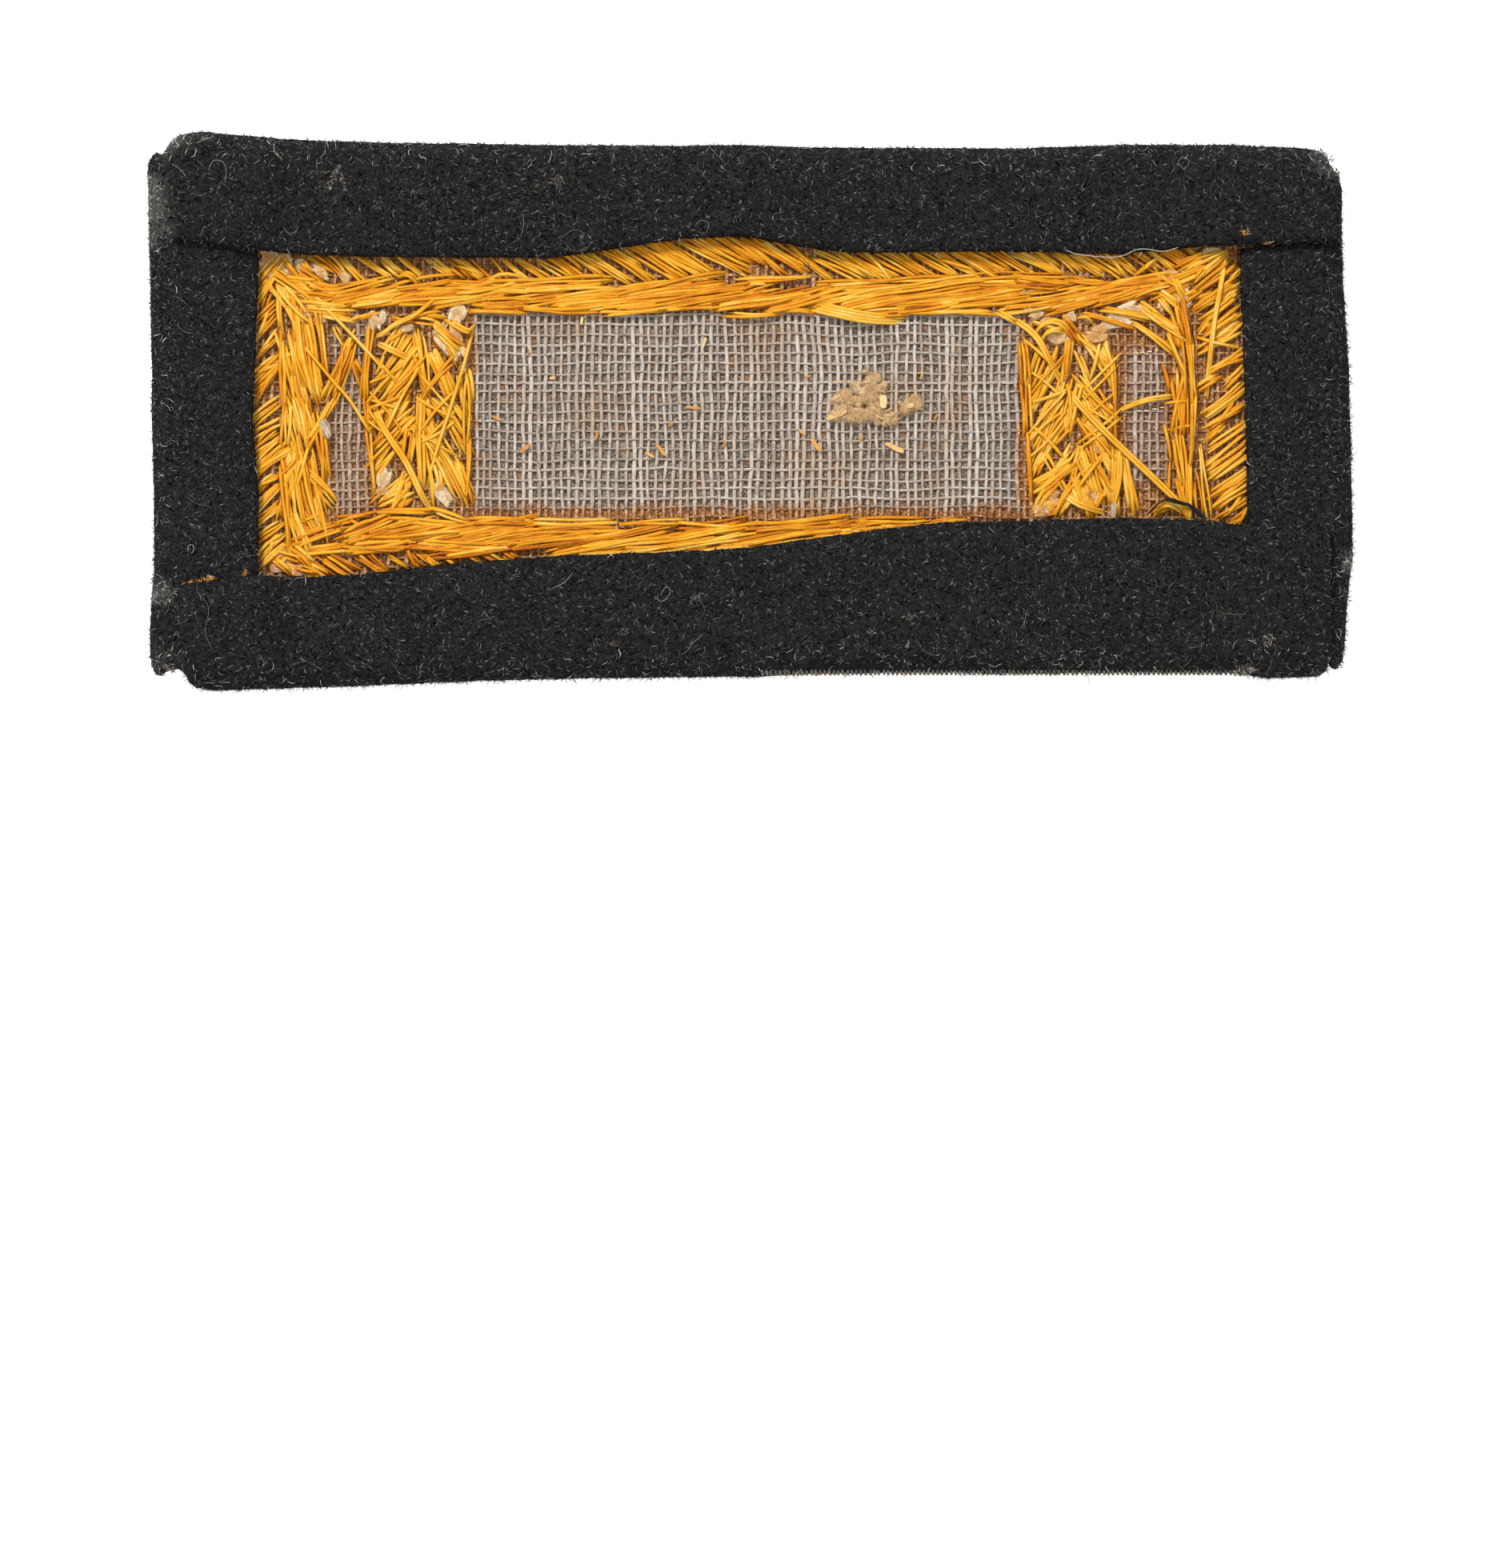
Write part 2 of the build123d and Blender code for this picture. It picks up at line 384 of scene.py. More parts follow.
def stain_of(shade, spot):
    """How brown the crinoline is: 0 in its open fields and 1 under the embroidery."""
    x, y, _ = shade.parts(spot)
    rough = (shade.noise(spot, 0.5, 3.0) - 0.5) * 2.2
    across = shade.step((y - 0.15).size() + rough, 9.0, 10.4)
    inner = shade.step((x + 0.4).size() + rough, 26.6, 27.7)
    left = 1 - shade.step((x + 40.1).size() + rough * 0.5, 1.3, 2.2)
    right = 1 - shade.step((x - 39.6).size() + rough * 0.5, 1.1, 2.6)
    right = right * (1 - shade.step((y + 0.3).size() + rough * 0.5, 5.4, 7.6))
    return across.most(inner * (1 - (left * 0.5).most(right * 0.66)))


def mesh_thread_material(name):
    """Sized cotton threads of the crinoline, grey in the fields and brown under the silk, where their palest
    flecks are partly painted glints on the wax.
    """
    shade = Shade(name)
    spot = shade.place()
    tint = shade.value_of("tint")
    streak = shade.noise(shade.scaled(shade.vector_of("grain"), (1.6, 6.0, 6.0)), 1.0, 3.0, 0.6)
    fuzz = shade.noise(spot, 7.0, 2.0, 0.7)
    clean = shade.ramp(
        tint * 0.12 + shade.noise(spot, 1.1, 3.0) * 0.28 + streak * 0.25 + fuzz * 0.35,
        (0.34, 132, 118, 106), (0.5, 216, 200, 184), (0.64, 252, 240, 225),
    )
    tan = shade.step(shade.noise(spot, 0.16, 3.0), 0.50, 0.72)
    clean = shade.blend(tan * 0.5, clean, paint(206, 164, 120))
    # The palest stop of the brown run gives pale flecks: partly real colour, partly painted glints of light
    # on the wax.
    brown = shade.ramp(
        shade.noise(spot, 2.2, 2.0) * 0.5 + fuzz * 0.5,
        (0.34, 96, 54, 28), (0.5, 196, 132, 74), (0.63, 250, 210, 160),
    )
    colour = shade.blend(stain_of(shade, spot), clean, brown)
    shade.bump(fuzz + streak, 0.14)
    return shade.finish(colour, 0.55, 0.4)


def mesh_ground_material(name):
    """The pasted layer that shows through the holes of the crinoline."""
    shade = Shade(name)
    spot = shade.place()
    fine = shade.noise(spot, 4.5, 3.0, 0.75)
    holes = shade.ramp(fine, (0.32, 50, 40, 33), (0.5, 116, 98, 84), (0.66, 206, 188, 168))
    bits = shade.step(shade.noise(spot, 1.3, 1.0), 0.62, 0.68)
    holes = shade.blend(bits * 0.6, holes, paint(190, 124, 66))
    paste = shade.step(shade.noise(spot, 0.8, 2.0), 0.54, 0.64)
    colour = shade.blend(paste * 0.6, holes, paint(172, 160, 148))
    tan = shade.step(shade.noise(spot, 0.2, 3.0), 0.52, 0.7)
    colour = shade.blend(tan * 0.4, colour, paint(130, 92, 60))
    brown = shade.ramp(fine, (0.32, 72, 38, 18), (0.5, 158, 96, 46), (0.64, 222, 166, 102))
    colour = shade.blend(stain_of(shade, spot), colour, brown)
    shade.bump(fine, 0.15)
    return shade.finish(colour, 0.6, 0.35)


def silk_material(name, twisted=1.0):
    """Yellow silk floss: fine filaments along each thread, orange where it is stained, with painted shade on
    the flanks of each strand and painted highlights on its top.
    """
    strap = settings()
    shade = Shade(name)
    grain = shade.vector_of("grain")
    tint = shade.value_of("tint")
    spot = shade.place()
    streak = shade.noise(shade.scaled(grain, (0.6, 8.0, 8.0)), 1.0, 3.0, 0.65)
    cloud = shade.noise(spot, 0.35, 2.0)
    along, side, top = shade.parts(grain)
    twist = shade.math("SINE", along * 13 + side * 7) * twisted
    # Painted light: the tone rises toward the top of each strand's section and falls on its flanks, as light
    # and shade would fall.
    tone = tint * 0.45 + (streak - 0.5) * 1.2 + (cloud - 0.5) * 0.5 + twist * 0.03 - top * 0.5 + 0.03
    # The palest stops, reached on the tops of strands and on the loose strands, are partly painted
    # highlights.
    colour = shade.ramp(
        tone,
        (0.0, 92, 44, 8),
        (0.2, 192, 98, 4),
        (0.45, strap.silk_colour),
        (0.68, 248, 191, 50),
        (0.92, 252, 228, 146),
    )
    shade.bump(streak + twist * 0.08, 0.08, 0.8)
    return shade.finish(colour, 0.5, 0.25)


def stained_silk_material(name):
    """Flat, untwisted silk soaked in old wax."""
    return silk_material(name, 0.0)


def cotton_material(name):
    """Raw cotton: cream fluff with streaks and tan stains, darker where its lumps carry painted shade on
    their flanks.
    """
    shade = Shade(name)
    spot = shade.place()
    streak = strands_pattern(shade, spot, (20, 65, 110), 1.8, 0.2)
    tint = shade.value_of("tint")
    stain_and_shade = (shade.noise(spot, 0.9, 3.0) * 0.6 + tint * 0.7 + 0.3) / 1.3
    colour = shade.ramp(
        stain_and_shade,
        (0.0, 186, 98, 16), (0.22, 236, 148, 40), (0.45, 250, 190, 96), (0.7, 255, 224, 166),
        (1.0, 255, 243, 218),
    )
    colour = shade.blend(streak * 0.45, colour, paint(255, 246, 226))
    shade.bump(streak * 0.8 + shade.noise(spot, 1.4, 2.0), 0.1, 0.6)
    return shade.finish(colour, 0.8, 0.2)


def paste_material(name):
    """Dried paste and matted tan fluff."""
    shade = Shade(name)
    spot = shade.place()
    streak = strands_pattern(shade, spot, (0, 50, 105, 150), 0.9, 0.1)
    lumps = shade.noise(spot, 1.6, 3.0, 0.6)
    colour = shade.ramp(
        lumps, (0.34, 178, 112, 56), (0.5, 248, 202, 140), (0.66, 255, 236, 192)
    )
    colour = shade.blend(streak * 0.4, colour, paint(255, 236, 196))
    shade.bump(streak * 0.6 + lumps, 0.1)
    return shade.finish(colour, 0.9, 0.15)


def dull_chip_material(name):
    """Flat grey-beige chips with a fine grain along them."""
    shade = Shade(name)
    streak = shade.noise(shade.turned(shade.place(), 1.9, (1.0, 6.0, 6.0)), 1.0, 2.0)
    colour = shade.ramp(streak, (0.35, 150, 124, 100), (0.55, 190, 166, 140), (0.7, 220, 202, 178))
    return shade.finish(colour, 0.75, 0.2)


def straw_and_glint_material(name):
    """Slivers of straw, and pale slivers that are painted glints on the wax."""
    shade = Shade(name)
    spot = shade.place()
    tint = shade.value_of("tint")
    tone = tint * 0.7 + shade.noise(spot, 3.0, 2.0) * 0.4
    colour = shade.ramp(tone, (0.1, 166, 104, 44), (0.5, 214, 152, 78), (1.0, 246, 218, 160))
    return shade.finish(colour, 0.6, 0.3)


def gilt_material(name):
    """Gilt embroidery wire, a little tarnished."""
    strap = settings()
    shade = Shade(name)
    spot = shade.place()
    tarnish = shade.step(shade.noise(spot, 0.7, 3.0), 0.45, 0.75)
    colour = shade.blend(tarnish * 0.7, strap.gilt_colour, paint(120, 84, 40))
    shade.set(Base_Color=colour, Metallic=1.0, Roughness=0.32 + tarnish * 0.25)
    shade.bump(shade.noise(spot, 8.0, 2.0), 0.04)
    return shade.material


def floor_material(name):
    """A plain white table."""
    shade = Shade(name)
    shade.set(Base_Color=(0.85, 0.85, 0.85), Roughness=0.9, Specular_IOR_Level=0.1)
    shade.set(Emission_Color=(1.0, 1.0, 1.0), Emission_Strength=0.75)
    return shade.material


MATERIALS = {
    "dark_wool_cloth": wool_cloth_material,
    "dark_wool_fibre": wool_fibre_material,
    "grey_fibre": grey_fibre_material,
    "crinoline_thread": mesh_thread_material,
    "crinoline_ground": mesh_ground_material,
    "yellow_silk_floss": silk_material,
    "stained_flat_silk": stained_silk_material,
    "raw_cotton_fluff": cotton_material,
    "dried_paste_fluff": paste_material,
    "dull_chip": dull_chip_material,
    "straw_sliver": straw_and_glint_material,
    "gilt_bullion": gilt_material,
    "white_table": floor_material,
    **dict.fromkeys(PLAIN_FIBRES, plain_fibre_material),
}


def put(name, data):
    """A new object in the scene."""
    piece = bpy.data.objects.new(name, data)
    bpy.context.scene.collection.objects.link(piece)
    return piece


def mesh_piece(name, points, faces, material=None, edges=(), smooth_faces=True, **values):
    """A mesh object from places in millimetres, with one number a point for each named value."""
    mesh = bpy.data.meshes.new(name)
    mesh.from_pydata([tuple(c * MM for c in point) for point in points], edges, faces)
    for key, numbers in values.items():
        layer = mesh.attributes.new(key, "FLOAT", "POINT")
        layer.data.foreach_set("value", np.asarray(numbers, np.float32))
    if faces:
        mesh.polygons.foreach_set("use_smooth", [smooth_faces] * len(mesh.polygons))
    if material:
        mesh.materials.append(material_of(material))
    return put(name, mesh)


def finish_piece(piece, slot, *nodes):
    """Fastens a piece to the strap and hides what it stands for; the finish that it is given is not used."""
    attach(piece, BODY)
    if nodes:
        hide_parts(*nodes)
    return piece


class Growth(Board):
    """Builds one Geometry Nodes tree and runs it on objects."""

    def __init__(self, name, **inputs):
        super().__init__(bpy.data.node_groups.new(name, "GeometryNodeTree"))
        sockets = self.tree.interface
        sockets.new_socket("Geometry", in_out="INPUT", socket_type="NodeSocketGeometry")
        sockets.new_socket("Geometry", in_out="OUTPUT", socket_type="NodeSocketGeometry")
        for key, kind in inputs.items():
            sockets.new_socket(key.replace("_", " "), in_out="INPUT", socket_type="NodeSocket" + kind)
        self.start = Wire(self, self.tree.nodes.new("NodeGroupInput"), "Geometry")

    def input(self, name):
        return self.start.out(name)

    def named(self, name, kind="FLOAT"):
        """A value that the mesh carries."""
        return self.node("GeometryNodeInputNamedAttribute", {"data_type": kind}, {"Name": name})

    def store(self, geometry, name, value, kind="FLOAT", **options):
        """Gives the geometry a named value."""
        options["data_type"] = kind
        sockets = {"Geometry": geometry, "Name": name, "Value": value}
        return self.node("GeometryNodeStoreNamedAttribute", options, sockets)

    def end(self, geometry):
        """Realizes the instances, sets the material and closes the tree."""
        real = self.node("GeometryNodeRealizeInstances", {}, {0: geometry})
        shaded = self.node("GeometryNodeSetShadeSmooth", {}, {"Geometry": real, "Shade Smooth": True})
        sockets = {"Geometry": shaded, "Material": self.input("Material")}
        final = self.node("GeometryNodeSetMaterial", {}, sockets)
        output = self.tree.nodes.new("NodeGroupOutput")
        self.feed(output.inputs[0], final)

    def grow(self, name, base, **values):
        """Runs the tree on a base object and returns a plain mesh piece."""
        modifier = base.modifiers.new("Growth", "NODES")
        modifier.node_group = self.tree
        for item in self.tree.interface.items_tree:
            key = item.name.replace(" ", "_")
            if item.in_out == "INPUT" and key in values:
                modifier[item.identifier] = values[key]
        graph = bpy.context.evaluated_depsgraph_get()
        mesh = bpy.data.meshes.new_from_object(base.evaluated_get(graph), depsgraph=graph)
        base.modifiers.remove(modifier)
        mesh.name = name
        return put(name, mesh)


TREES = {}


def tree_of(name):
    """A Geometry Nodes tree that was made earlier, or is made now."""
    if name not in TREES:
        TREES[name] = GROWTHS[name](name)
    return TREES[name]


# How far apart two threads' grains lie
GRAIN_SHIFT = 40


def thread_growth(name):
    """Sweeps a flattened round section along each path, as wide as the path says."""
    tree = Growth(name, Flatness="Float", Sides="Int", Material="Material")
    path = tree.node("GeometryNodeMeshToCurve", {}, {"Mesh": tree.start})
    path = tree.node("GeometryNodeSetCurveNormal", {"mode": "Z_UP"}, {"Curve": path})
    along = tree.node("GeometryNodeSplineParameter", key="Length") * (1 / MM)
    path = tree.store(path, "along", along)
    sockets = {"Resolution": tree.input("Sides"), "Radius": 0.5 * MM}
    circle = tree.node("GeometryNodeCurvePrimitiveCircle", {}, sockets)
    round_place = tree.node("GeometryNodeInputPosition")
    circle = tree.store(circle, "round", round_place, "FLOAT_VECTOR")
    flat = tree.node("ShaderNodeCombineXYZ", {}, {"X": 1.0, "Y": tree.input("Flatness"), "Z": 1.0})
    section = tree.node("GeometryNodeTransform", {}, {"Geometry": circle, "Scale": flat})
    tube = tree.node("GeometryNodeCurveToMesh", {}, {
        "Curve": path, "Profile Curve": section, "Scale": tree.named("width"), "Fill Caps": True,
    })
    split = tree.node("ShaderNodeSeparateXYZ", {}, {0: tree.named("round", "FLOAT_VECTOR")})
    grain = tree.node("ShaderNodeCombineXYZ", {}, {
        "X": tree.named("along"),
        "Y": split * (1 / MM) + tree.named("tint") * GRAIN_SHIFT,
        "Z": split.out("Y") * (1 / MM),
    })
    tree.end(tree.store(tube, "grain", grain, "FLOAT_VECTOR"))
    return tree


def fibre_growth(name):
    """Scatters bent fibres over a surface, as thickly as its named value says."""
    tree = Growth(name, Density="Float", Seed="Int", Shortest="Float", Longest="Float",
                  Lean="Float", Upright="Float", Cover="String", Material="Material",
                  Fibre_1="Object", Fibre_2="Object", Fibre_3="Object", Fibre_4="Object")
    cover = tree.named(tree.input("Cover"))
    spots = tree.node("GeometryNodeDistributePointsOnFaces", {"distribute_method": "RANDOM"}, {
        "Mesh": tree.start, "Density": cover * tree.input("Density"), "Seed": tree.input("Seed"),
    })

    def chance(low, high, seed, kind="FLOAT"):
        sockets = {"Min": low, "Max": high, "Seed": tree.input("Seed") + seed}
        return tree.node("FunctionNodeRandomValue", {"data_type": kind}, sockets)

    fibres = tree.node("GeometryNodeJoinGeometry")
    for number in (1, 2, 3, 4):
        sockets = {"Object": tree.input(f"Fibre {number}"), "As Instance": True}
        fibre = tree.node("GeometryNodeObjectInfo", {}, sockets, "Geometry")
        tree.tree.links.new(fibre.socket, fibres.node.inputs[0])
    around = chance(0.0, 2 * math.pi, 11)
    spin = tree.node("FunctionNodeAxisAngleToRotation", {}, {"Axis": (0, 0, 1), "Angle": around})
    lean = chance(0.0, 1.0, 12) ** tree.input("Upright") * tree.input("Lean")
    tilt = tree.node("FunctionNodeAxisAngleToRotation", {}, {"Axis": (0, 1, 0), "Angle": lean})
    turn = spots.out("Rotation")
    for step in (spin, tilt):
        sockets = {"Rotation": turn, "Rotate By": step}
        turn = tree.node("FunctionNodeRotateRotation", {"rotation_space": "LOCAL"}, sockets)
    scale = chance(tree.input("Shortest"), tree.input("Longest"), 13)
    grown = tree.node("GeometryNodeInstanceOnPoints", {}, {
        "Points": spots, "Instance": fibres, "Pick Instance": True,
        "Instance Index": chance(0, 3, 14, "INT"), "Rotation": turn, "Scale": scale,
    })
    tint = chance(0.0, 1.0, 15) + tree.named("wear")
    tree.end(tree.store(grown, "tint", tint, domain="INSTANCE"))
    return tree


GROWTHS = {"thread_sweep": thread_growth, "fibre_scatter": fibre_growth}


class Paths:
    """Collects the paths of one piece's threads, each with its own width and tint."""

    def __init__(self, seed):
        self.chance = random.Random(seed)
        self.points = []
        self.edges = []
        self.widths = []
        self.tints = []

    def add(self, path, width, tint, end_share=0.55, taper=0.0):
        """One path in millimetres; its ends are narrower, from a share of its length inwards."""
        first = len(self.points)
        last = len(path) - 1
        for number, point in enumerate(path):
            self.points.append(point)
            near = min(number, last - number) / last
            full = smooth(near / taper) if taper else min(number, last - number, 1)
            self.widths.append(width * mix(end_share, 1.0, full))
            self.tints.append(tint)
            if number:
                self.edges.append((first + number - 1, first + number))

    def grow(self, name, material, flatness=0.62, sides=6):
        """The swept piece."""
        guide = mesh_piece(name + "_paths", self.points, [], edges=self.edges,
                           width=self.widths, tint=self.tints)
        piece = tree_of("thread_sweep").grow(
            name, guide, Flatness=flatness, Sides=sides, Material=material_of(material)
        )
        bpy.data.objects.remove(guide)
        return piece


# The cover

WOOL_THICKNESS = 1.2
COLUMNS_LONG = 150
COLUMNS_END = 64
ROLL_ROWS = 9
FLAP_ROWS = 16
EDGE_FULLNESS = 0.62
RIM_GROWTH = 0.3
RIM_BULGE = 0.2
CORNER_RUN = 0.9
CORNER_TUCK = 0.14
ROLL_SWELL = 0.05
RAGGED_EDGE = 0.1
FINE_RAG = 0.07
END_RAG = 0.12
FLAT_EASE = 0.92
LEAST_LIFT = 0.1
LIFT_WANDER = 0.12
LOW_FLAP_TOP = SILK_TOP + 0.1 + WOOL_THICKNESS

Side = namedtuple("Side", "name along_x sign")
SIDES = (
    Side("upper", True, 1),
    Side("lower", True, -1),
    Side("left", False, -1),
    Side("right", False, 1),
)

# How far the ends of each flap reach past the panel's corners, at the fold and on the flat, in millimetres
Lean = namedtuple("Lean", "fold flat")
LEANS = {
    ("upper", 0): Lean(-0.5, 1.5), ("upper", 1): Lean(0.2, 2.0),
    ("lower", 0): Lean(-1.9, -0.8), ("lower", 1): Lean(0.3, 0.6),
    ("left", 0): Lean(1.3, 0.5), ("left", 1): Lean(0.7, 0.3),
    ("right", 0): Lean(1.8, 0.5), ("right", 1): Lean(0.3, 0.3),
}
LEAN_REACH = 7.0

# Worn, whitish places of the wool
Worn = namedtuple("Worn", "photo_x photo_y radius amount")
WORN_PLACES = rows_of(
    Worn,
    (190, 236, 1.3, 0.7), (193, 262, 1.5, 0.6), (203, 292, 1.3, 0.5), (206, 742, 1.1, 0.5),
    (212, 190, 0.9, 0.45), (228, 172, 1.4, 0.25), (1660, 205, 1.6, 0.35), (1684, 702, 1.0, 0.5),
    (1655, 846, 1.5, 0.3), (205, 838, 1.8, 0.25),
)


def on_side(side, along, out, z):
    """A place on one side, from its distance along the side and out from the middle."""
    out *= side.sign
    return (along, out, z) if side.along_x else (out, along, z)


def surface_of(*pieces):
    """The faces of one or more objects, in millimetres, to cast lines at."""
    points = []
    faces = []
    for piece in pieces:
        first = len(points)
        points += [tuple(v.co / MM) for v in piece.data.vertices]
        faces += [tuple(first + corner for corner in face.vertices) for face in piece.data.polygons]
    return BVHTree.FromPolygons(points, faces)


def roll_start(fold, top):
    """How far out a roll starts, from its fold and the top of its flap."""
    return fold - (top - PANEL_BOTTOM) / 2


class CoverGauge:
    """Reads the folds and cut edges of the wool's CAD solid by casting lines at it."""

    FAR = 90.0
    ROLL_MIDDLE = PANEL_BOTTOM + 2.4
    TOP_INSET = 4
    STEP = 0.2
    TRIES = 40

    def __init__(self):
        self.tree = surface_of(frame["nodes"]["wool_cover"])

    def cast(self, start, direction):
        return self.tree.ray_cast(Vector(start), Vector(direction))[0]

    def out_of(self, side, spot):
        return side.sign * (spot.y if side.along_x else spot.x)

    def measure(self, side, along, inside):
        """Fold, cut edge and top of the flap at one place along a side, or nothing past its end."""
        outward = on_side(side, 0, 1, 0)
        hit = self.cast(on_side(side, along, self.FAR, self.ROLL_MIDDLE), [-c for c in outward])
        if hit is None:
            return None
        fold = self.out_of(side, hit)
        top = LOW_FLAP_TOP
        if side.along_x:
            hit = self.cast(on_side(side, along, fold - self.TOP_INSET, self.FAR), (0, 0, -1))
            if hit is None:
                return None
            top = hit.z
        hit = self.cast(on_side(side, along, inside, top - WOOL_THICKNESS / 2), outward)
        return hit and (fold, self.out_of(side, hit), top)

    def read(self, side, along, inside):
        """What is measured at a place, or at the nearest place towards the middle that has it."""
        step = math.copysign(self.STEP, along)
        for _ in range(self.TRIES):
            found = self.measure(side, along, inside)
            if found:
                return found
            along -= step
        raise RuntimeError(f"the wool cover has no {side.name} flap near {along:.1f}")


class Cloth:
    """The cross-shaped sheet: a grid for its face panel and one more for each flap."""

    # Flaps are read a little inside their ends and from just inside the cut edges
    END_INSET = 0.35
    CUT_INSET = 0.6
    ROLL_INSET = 0.4

    def __init__(self):
        self.gauge = CoverGauge()
        self.points = []
        self.faces = []
        self.wear = []
        self.fullness = []
        self.patch = {"upper": [], "lower": [], "ends": [], "under": [], "fringe": []}
        self.build()

    def add(self, point, patch, fringe, fullness=1.0):
        self.points.append(point)
        self.fullness.append(fullness)
        self.wear.append(self.worn(point))
        for name, numbers in self.patch.items():
            numbers.append(1.0 if name == patch else 0.0)
        self.patch["fringe"][-1] = fringe
        return len(self.points) - 1

    def worn(self, point):
        amount = 0.0
        for spot in WORN_PLACES:
            x, y = seen(spot.photo_x, spot.photo_y)
            gap = math.hypot(point[0] - x, point[1] - y)
            if point[2] > PANEL_BOTTOM + 1:
                amount = max(amount, spot.amount * smooth(1.5 - gap / spot.radius))
        return amount

    def readings(self, side, places, inside):
        """Fold, cut and top along a side; the ends repeat what lies just inside them."""
        low, high = min(places) + self.END_INSET, max(places) - self.END_INSET
        return [self.gauge.read(side, min(max(place, low), high), inside) for place in places]

    def build(self):
        """Places every point of the panel and the four flaps."""
        upper, lower, left, right = SIDES
        gauge = self.gauge
        corner = {}
        cut_start = {}
        for side in (left, right):
            fold, cut, top = gauge.read(side, 0.0, node_box("border_stitching")[1].x - 4)
            cut_start[side.name] = cut - self.CUT_INSET
            corner[side.name] = roll_start(fold, top)
        starts = {}
        for side in (upper, lower):
            for end in (left, right):
                along = end.sign * (corner[end.name] - self.CUT_INSET)
                fold, _, top = gauge.read(side, along, 0.0)
                starts[side.name, end.name] = roll_start(fold, top)
        ends = {}
        for end in (left, right):
            for side in (upper, lower):
                along = side.sign * (starts[side.name, end.name] - self.ROLL_INSET)
                fold, _, top = gauge.read(end, along, cut_start[end.name])
                ends[end.name, side.name] = end.sign * roll_start(fold, top)
        lines = {}
        for side in (upper, lower):
            places = np.linspace(ends["left", side.name], ends["right", side.name], COLUMNS_LONG + 1)
            lines[side.name] = list(zip(places, self.readings(side, places, 0.0)))
        for end in (left, right):
            places = np.linspace(-starts["lower", end.name], starts["upper", end.name], COLUMNS_END + 1)
            lines[end.name] = list(zip(places, self.readings(end, places, cut_start[end.name])))
        self.lines = lines
        grid = self.panel()
        self.flap(upper, [grid[i][-1] for i in range(COLUMNS_LONG + 1)])
        self.flap(lower, [grid[i][0] for i in range(COLUMNS_LONG + 1)])
        self.flap(left, grid[0])
        self.flap(right, grid[-1])

    def edge_line(self, side):
        """Where the rolls of a side start, as places in plan."""
        return [
            Vector(on_side(side, along, roll_start(fold, top), 0))
            for along, (fold, _, top) in self.lines[side.name]
        ]

    def panel(self):
        """The face panel, stretched between its four edges."""
        upper, lower, left, right = (self.edge_line(side) for side in SIDES)
        corners = (lower[0], lower[-1], upper[0], upper[-1])
        left[0] = lower[0]
        left[-1] = upper[0]
        right[0] = lower[-1]
        right[-1] = upper[-1]
        middle = PANEL_BOTTOM + WOOL_THICKNESS / 2
        grid = []
        for i in range(COLUMNS_LONG + 1):
            s = i / COLUMNS_LONG
            column = []
            for j in range(COLUMNS_END + 1):
                t = j / COLUMNS_END
                spot = lower[i].lerp(upper[i], t) + left[j].lerp(right[j], s)
                spot -= corners[0].lerp(corners[1], s).lerp(corners[2].lerp(corners[3], s), t)
                column.append(self.add((spot.x, spot.y, middle), "under", 0.0))
            grid.append(column)
        for i in range(COLUMNS_LONG):
            for j in range(COLUMNS_END):
                self.faces.append((grid[i][j], grid[i][j + 1], grid[i + 1][j + 1], grid[i + 1][j]))
        return grid

    def flap(self, side, base):
        """One flap, from the panel's edge round the roll to the cut edge."""
        line = self.lines[side.name]
        patch = side.name if side.along_x else "ends"
        before = base
        rows = ROLL_ROWS + FLAP_ROWS
        for row in range(1, rows + 1):
            now = []
            for number, (along, (fold, cut, top)) in enumerate(line):
                near = min(along - line[0][0], line[-1][0] - along)
                end = 0 if number < len(line) / 2 else 1
                point = self.flap_point(side, along, fold, cut, top, row, near, end)
                edge = row == rows or number in (0, len(line) - 1)
                next_edge = row == rows - 1 or number in (1, len(line) - 2)
                full = EDGE_FULLNESS if edge else 0.9 if next_edge else 1.0
                on_roll = 1.0 if 2 <= row <= ROLL_ROWS else 0.0
                fringe = max(on_roll, 0.8 if edge else 0.0)
                now.append(self.add(point, patch, fringe, full))
            for number in range(len(line) - 1):
                quad = (before[number], before[number + 1], now[number + 1], now[number])
                outward = side.name in ("lower", "right")
                self.faces.append(quad if outward else quad[::-1])
            before = now

    def flap_point(self, side, along, fold, cut, top, row, near, end):
        """One point of a flap, by its row across the roll and the flat."""
        outer = (top - PANEL_BOTTOM) / 2
        radius = outer - WOOL_THICKNESS / 2
        start = fold - outer
        lean = LEANS[side.name, end]
        reach = mix(lean.fold * smooth(row / 3), lean.flat, smooth((row - 4) / 8))
        along += reach * (1 - smooth(near / LEAN_REACH)) * (1 if end else -1)
        middle = PANEL_BOTTOM + outer
        ragged = RAGGED_EDGE * wander(along * 1.7, fold, side.sign * 9.1)
        if row <= ROLL_ROWS:
            turn = math.pi * row / ROLL_ROWS
            corner = 1 - CORNER_TUCK * (1 - smooth(near / CORNER_RUN))
            swell = 1 + ROLL_SWELL * wander(along * 0.35, 3.3, side.sign)
            out = start + radius * math.sin(turn) * corner * swell
            return on_side(side, along, out, middle - radius * math.cos(turn))
        share = (row - ROLL_ROWS) / FLAP_ROWS
        share = share ** FLAT_EASE
        out = mix(start, cut + RIM_GROWTH, share)
        if share == 1:
            out += ragged + FINE_RAG * wander(along * 5.1, 0.7, side.sign * 3.0)
        lift = LEAST_LIFT + LIFT_WANDER * wander(along * 0.13, out * 0.17, side.sign * 5.0)
        height = middle + radius + max(lift, 0.0) * smooth(share * 3) * smooth((1 - share) * 2.5)
        if near == 0:
            along += END_RAG * wander(out * 2.3, side.sign * 4.0, end)
        return on_side(side, along, out, height)

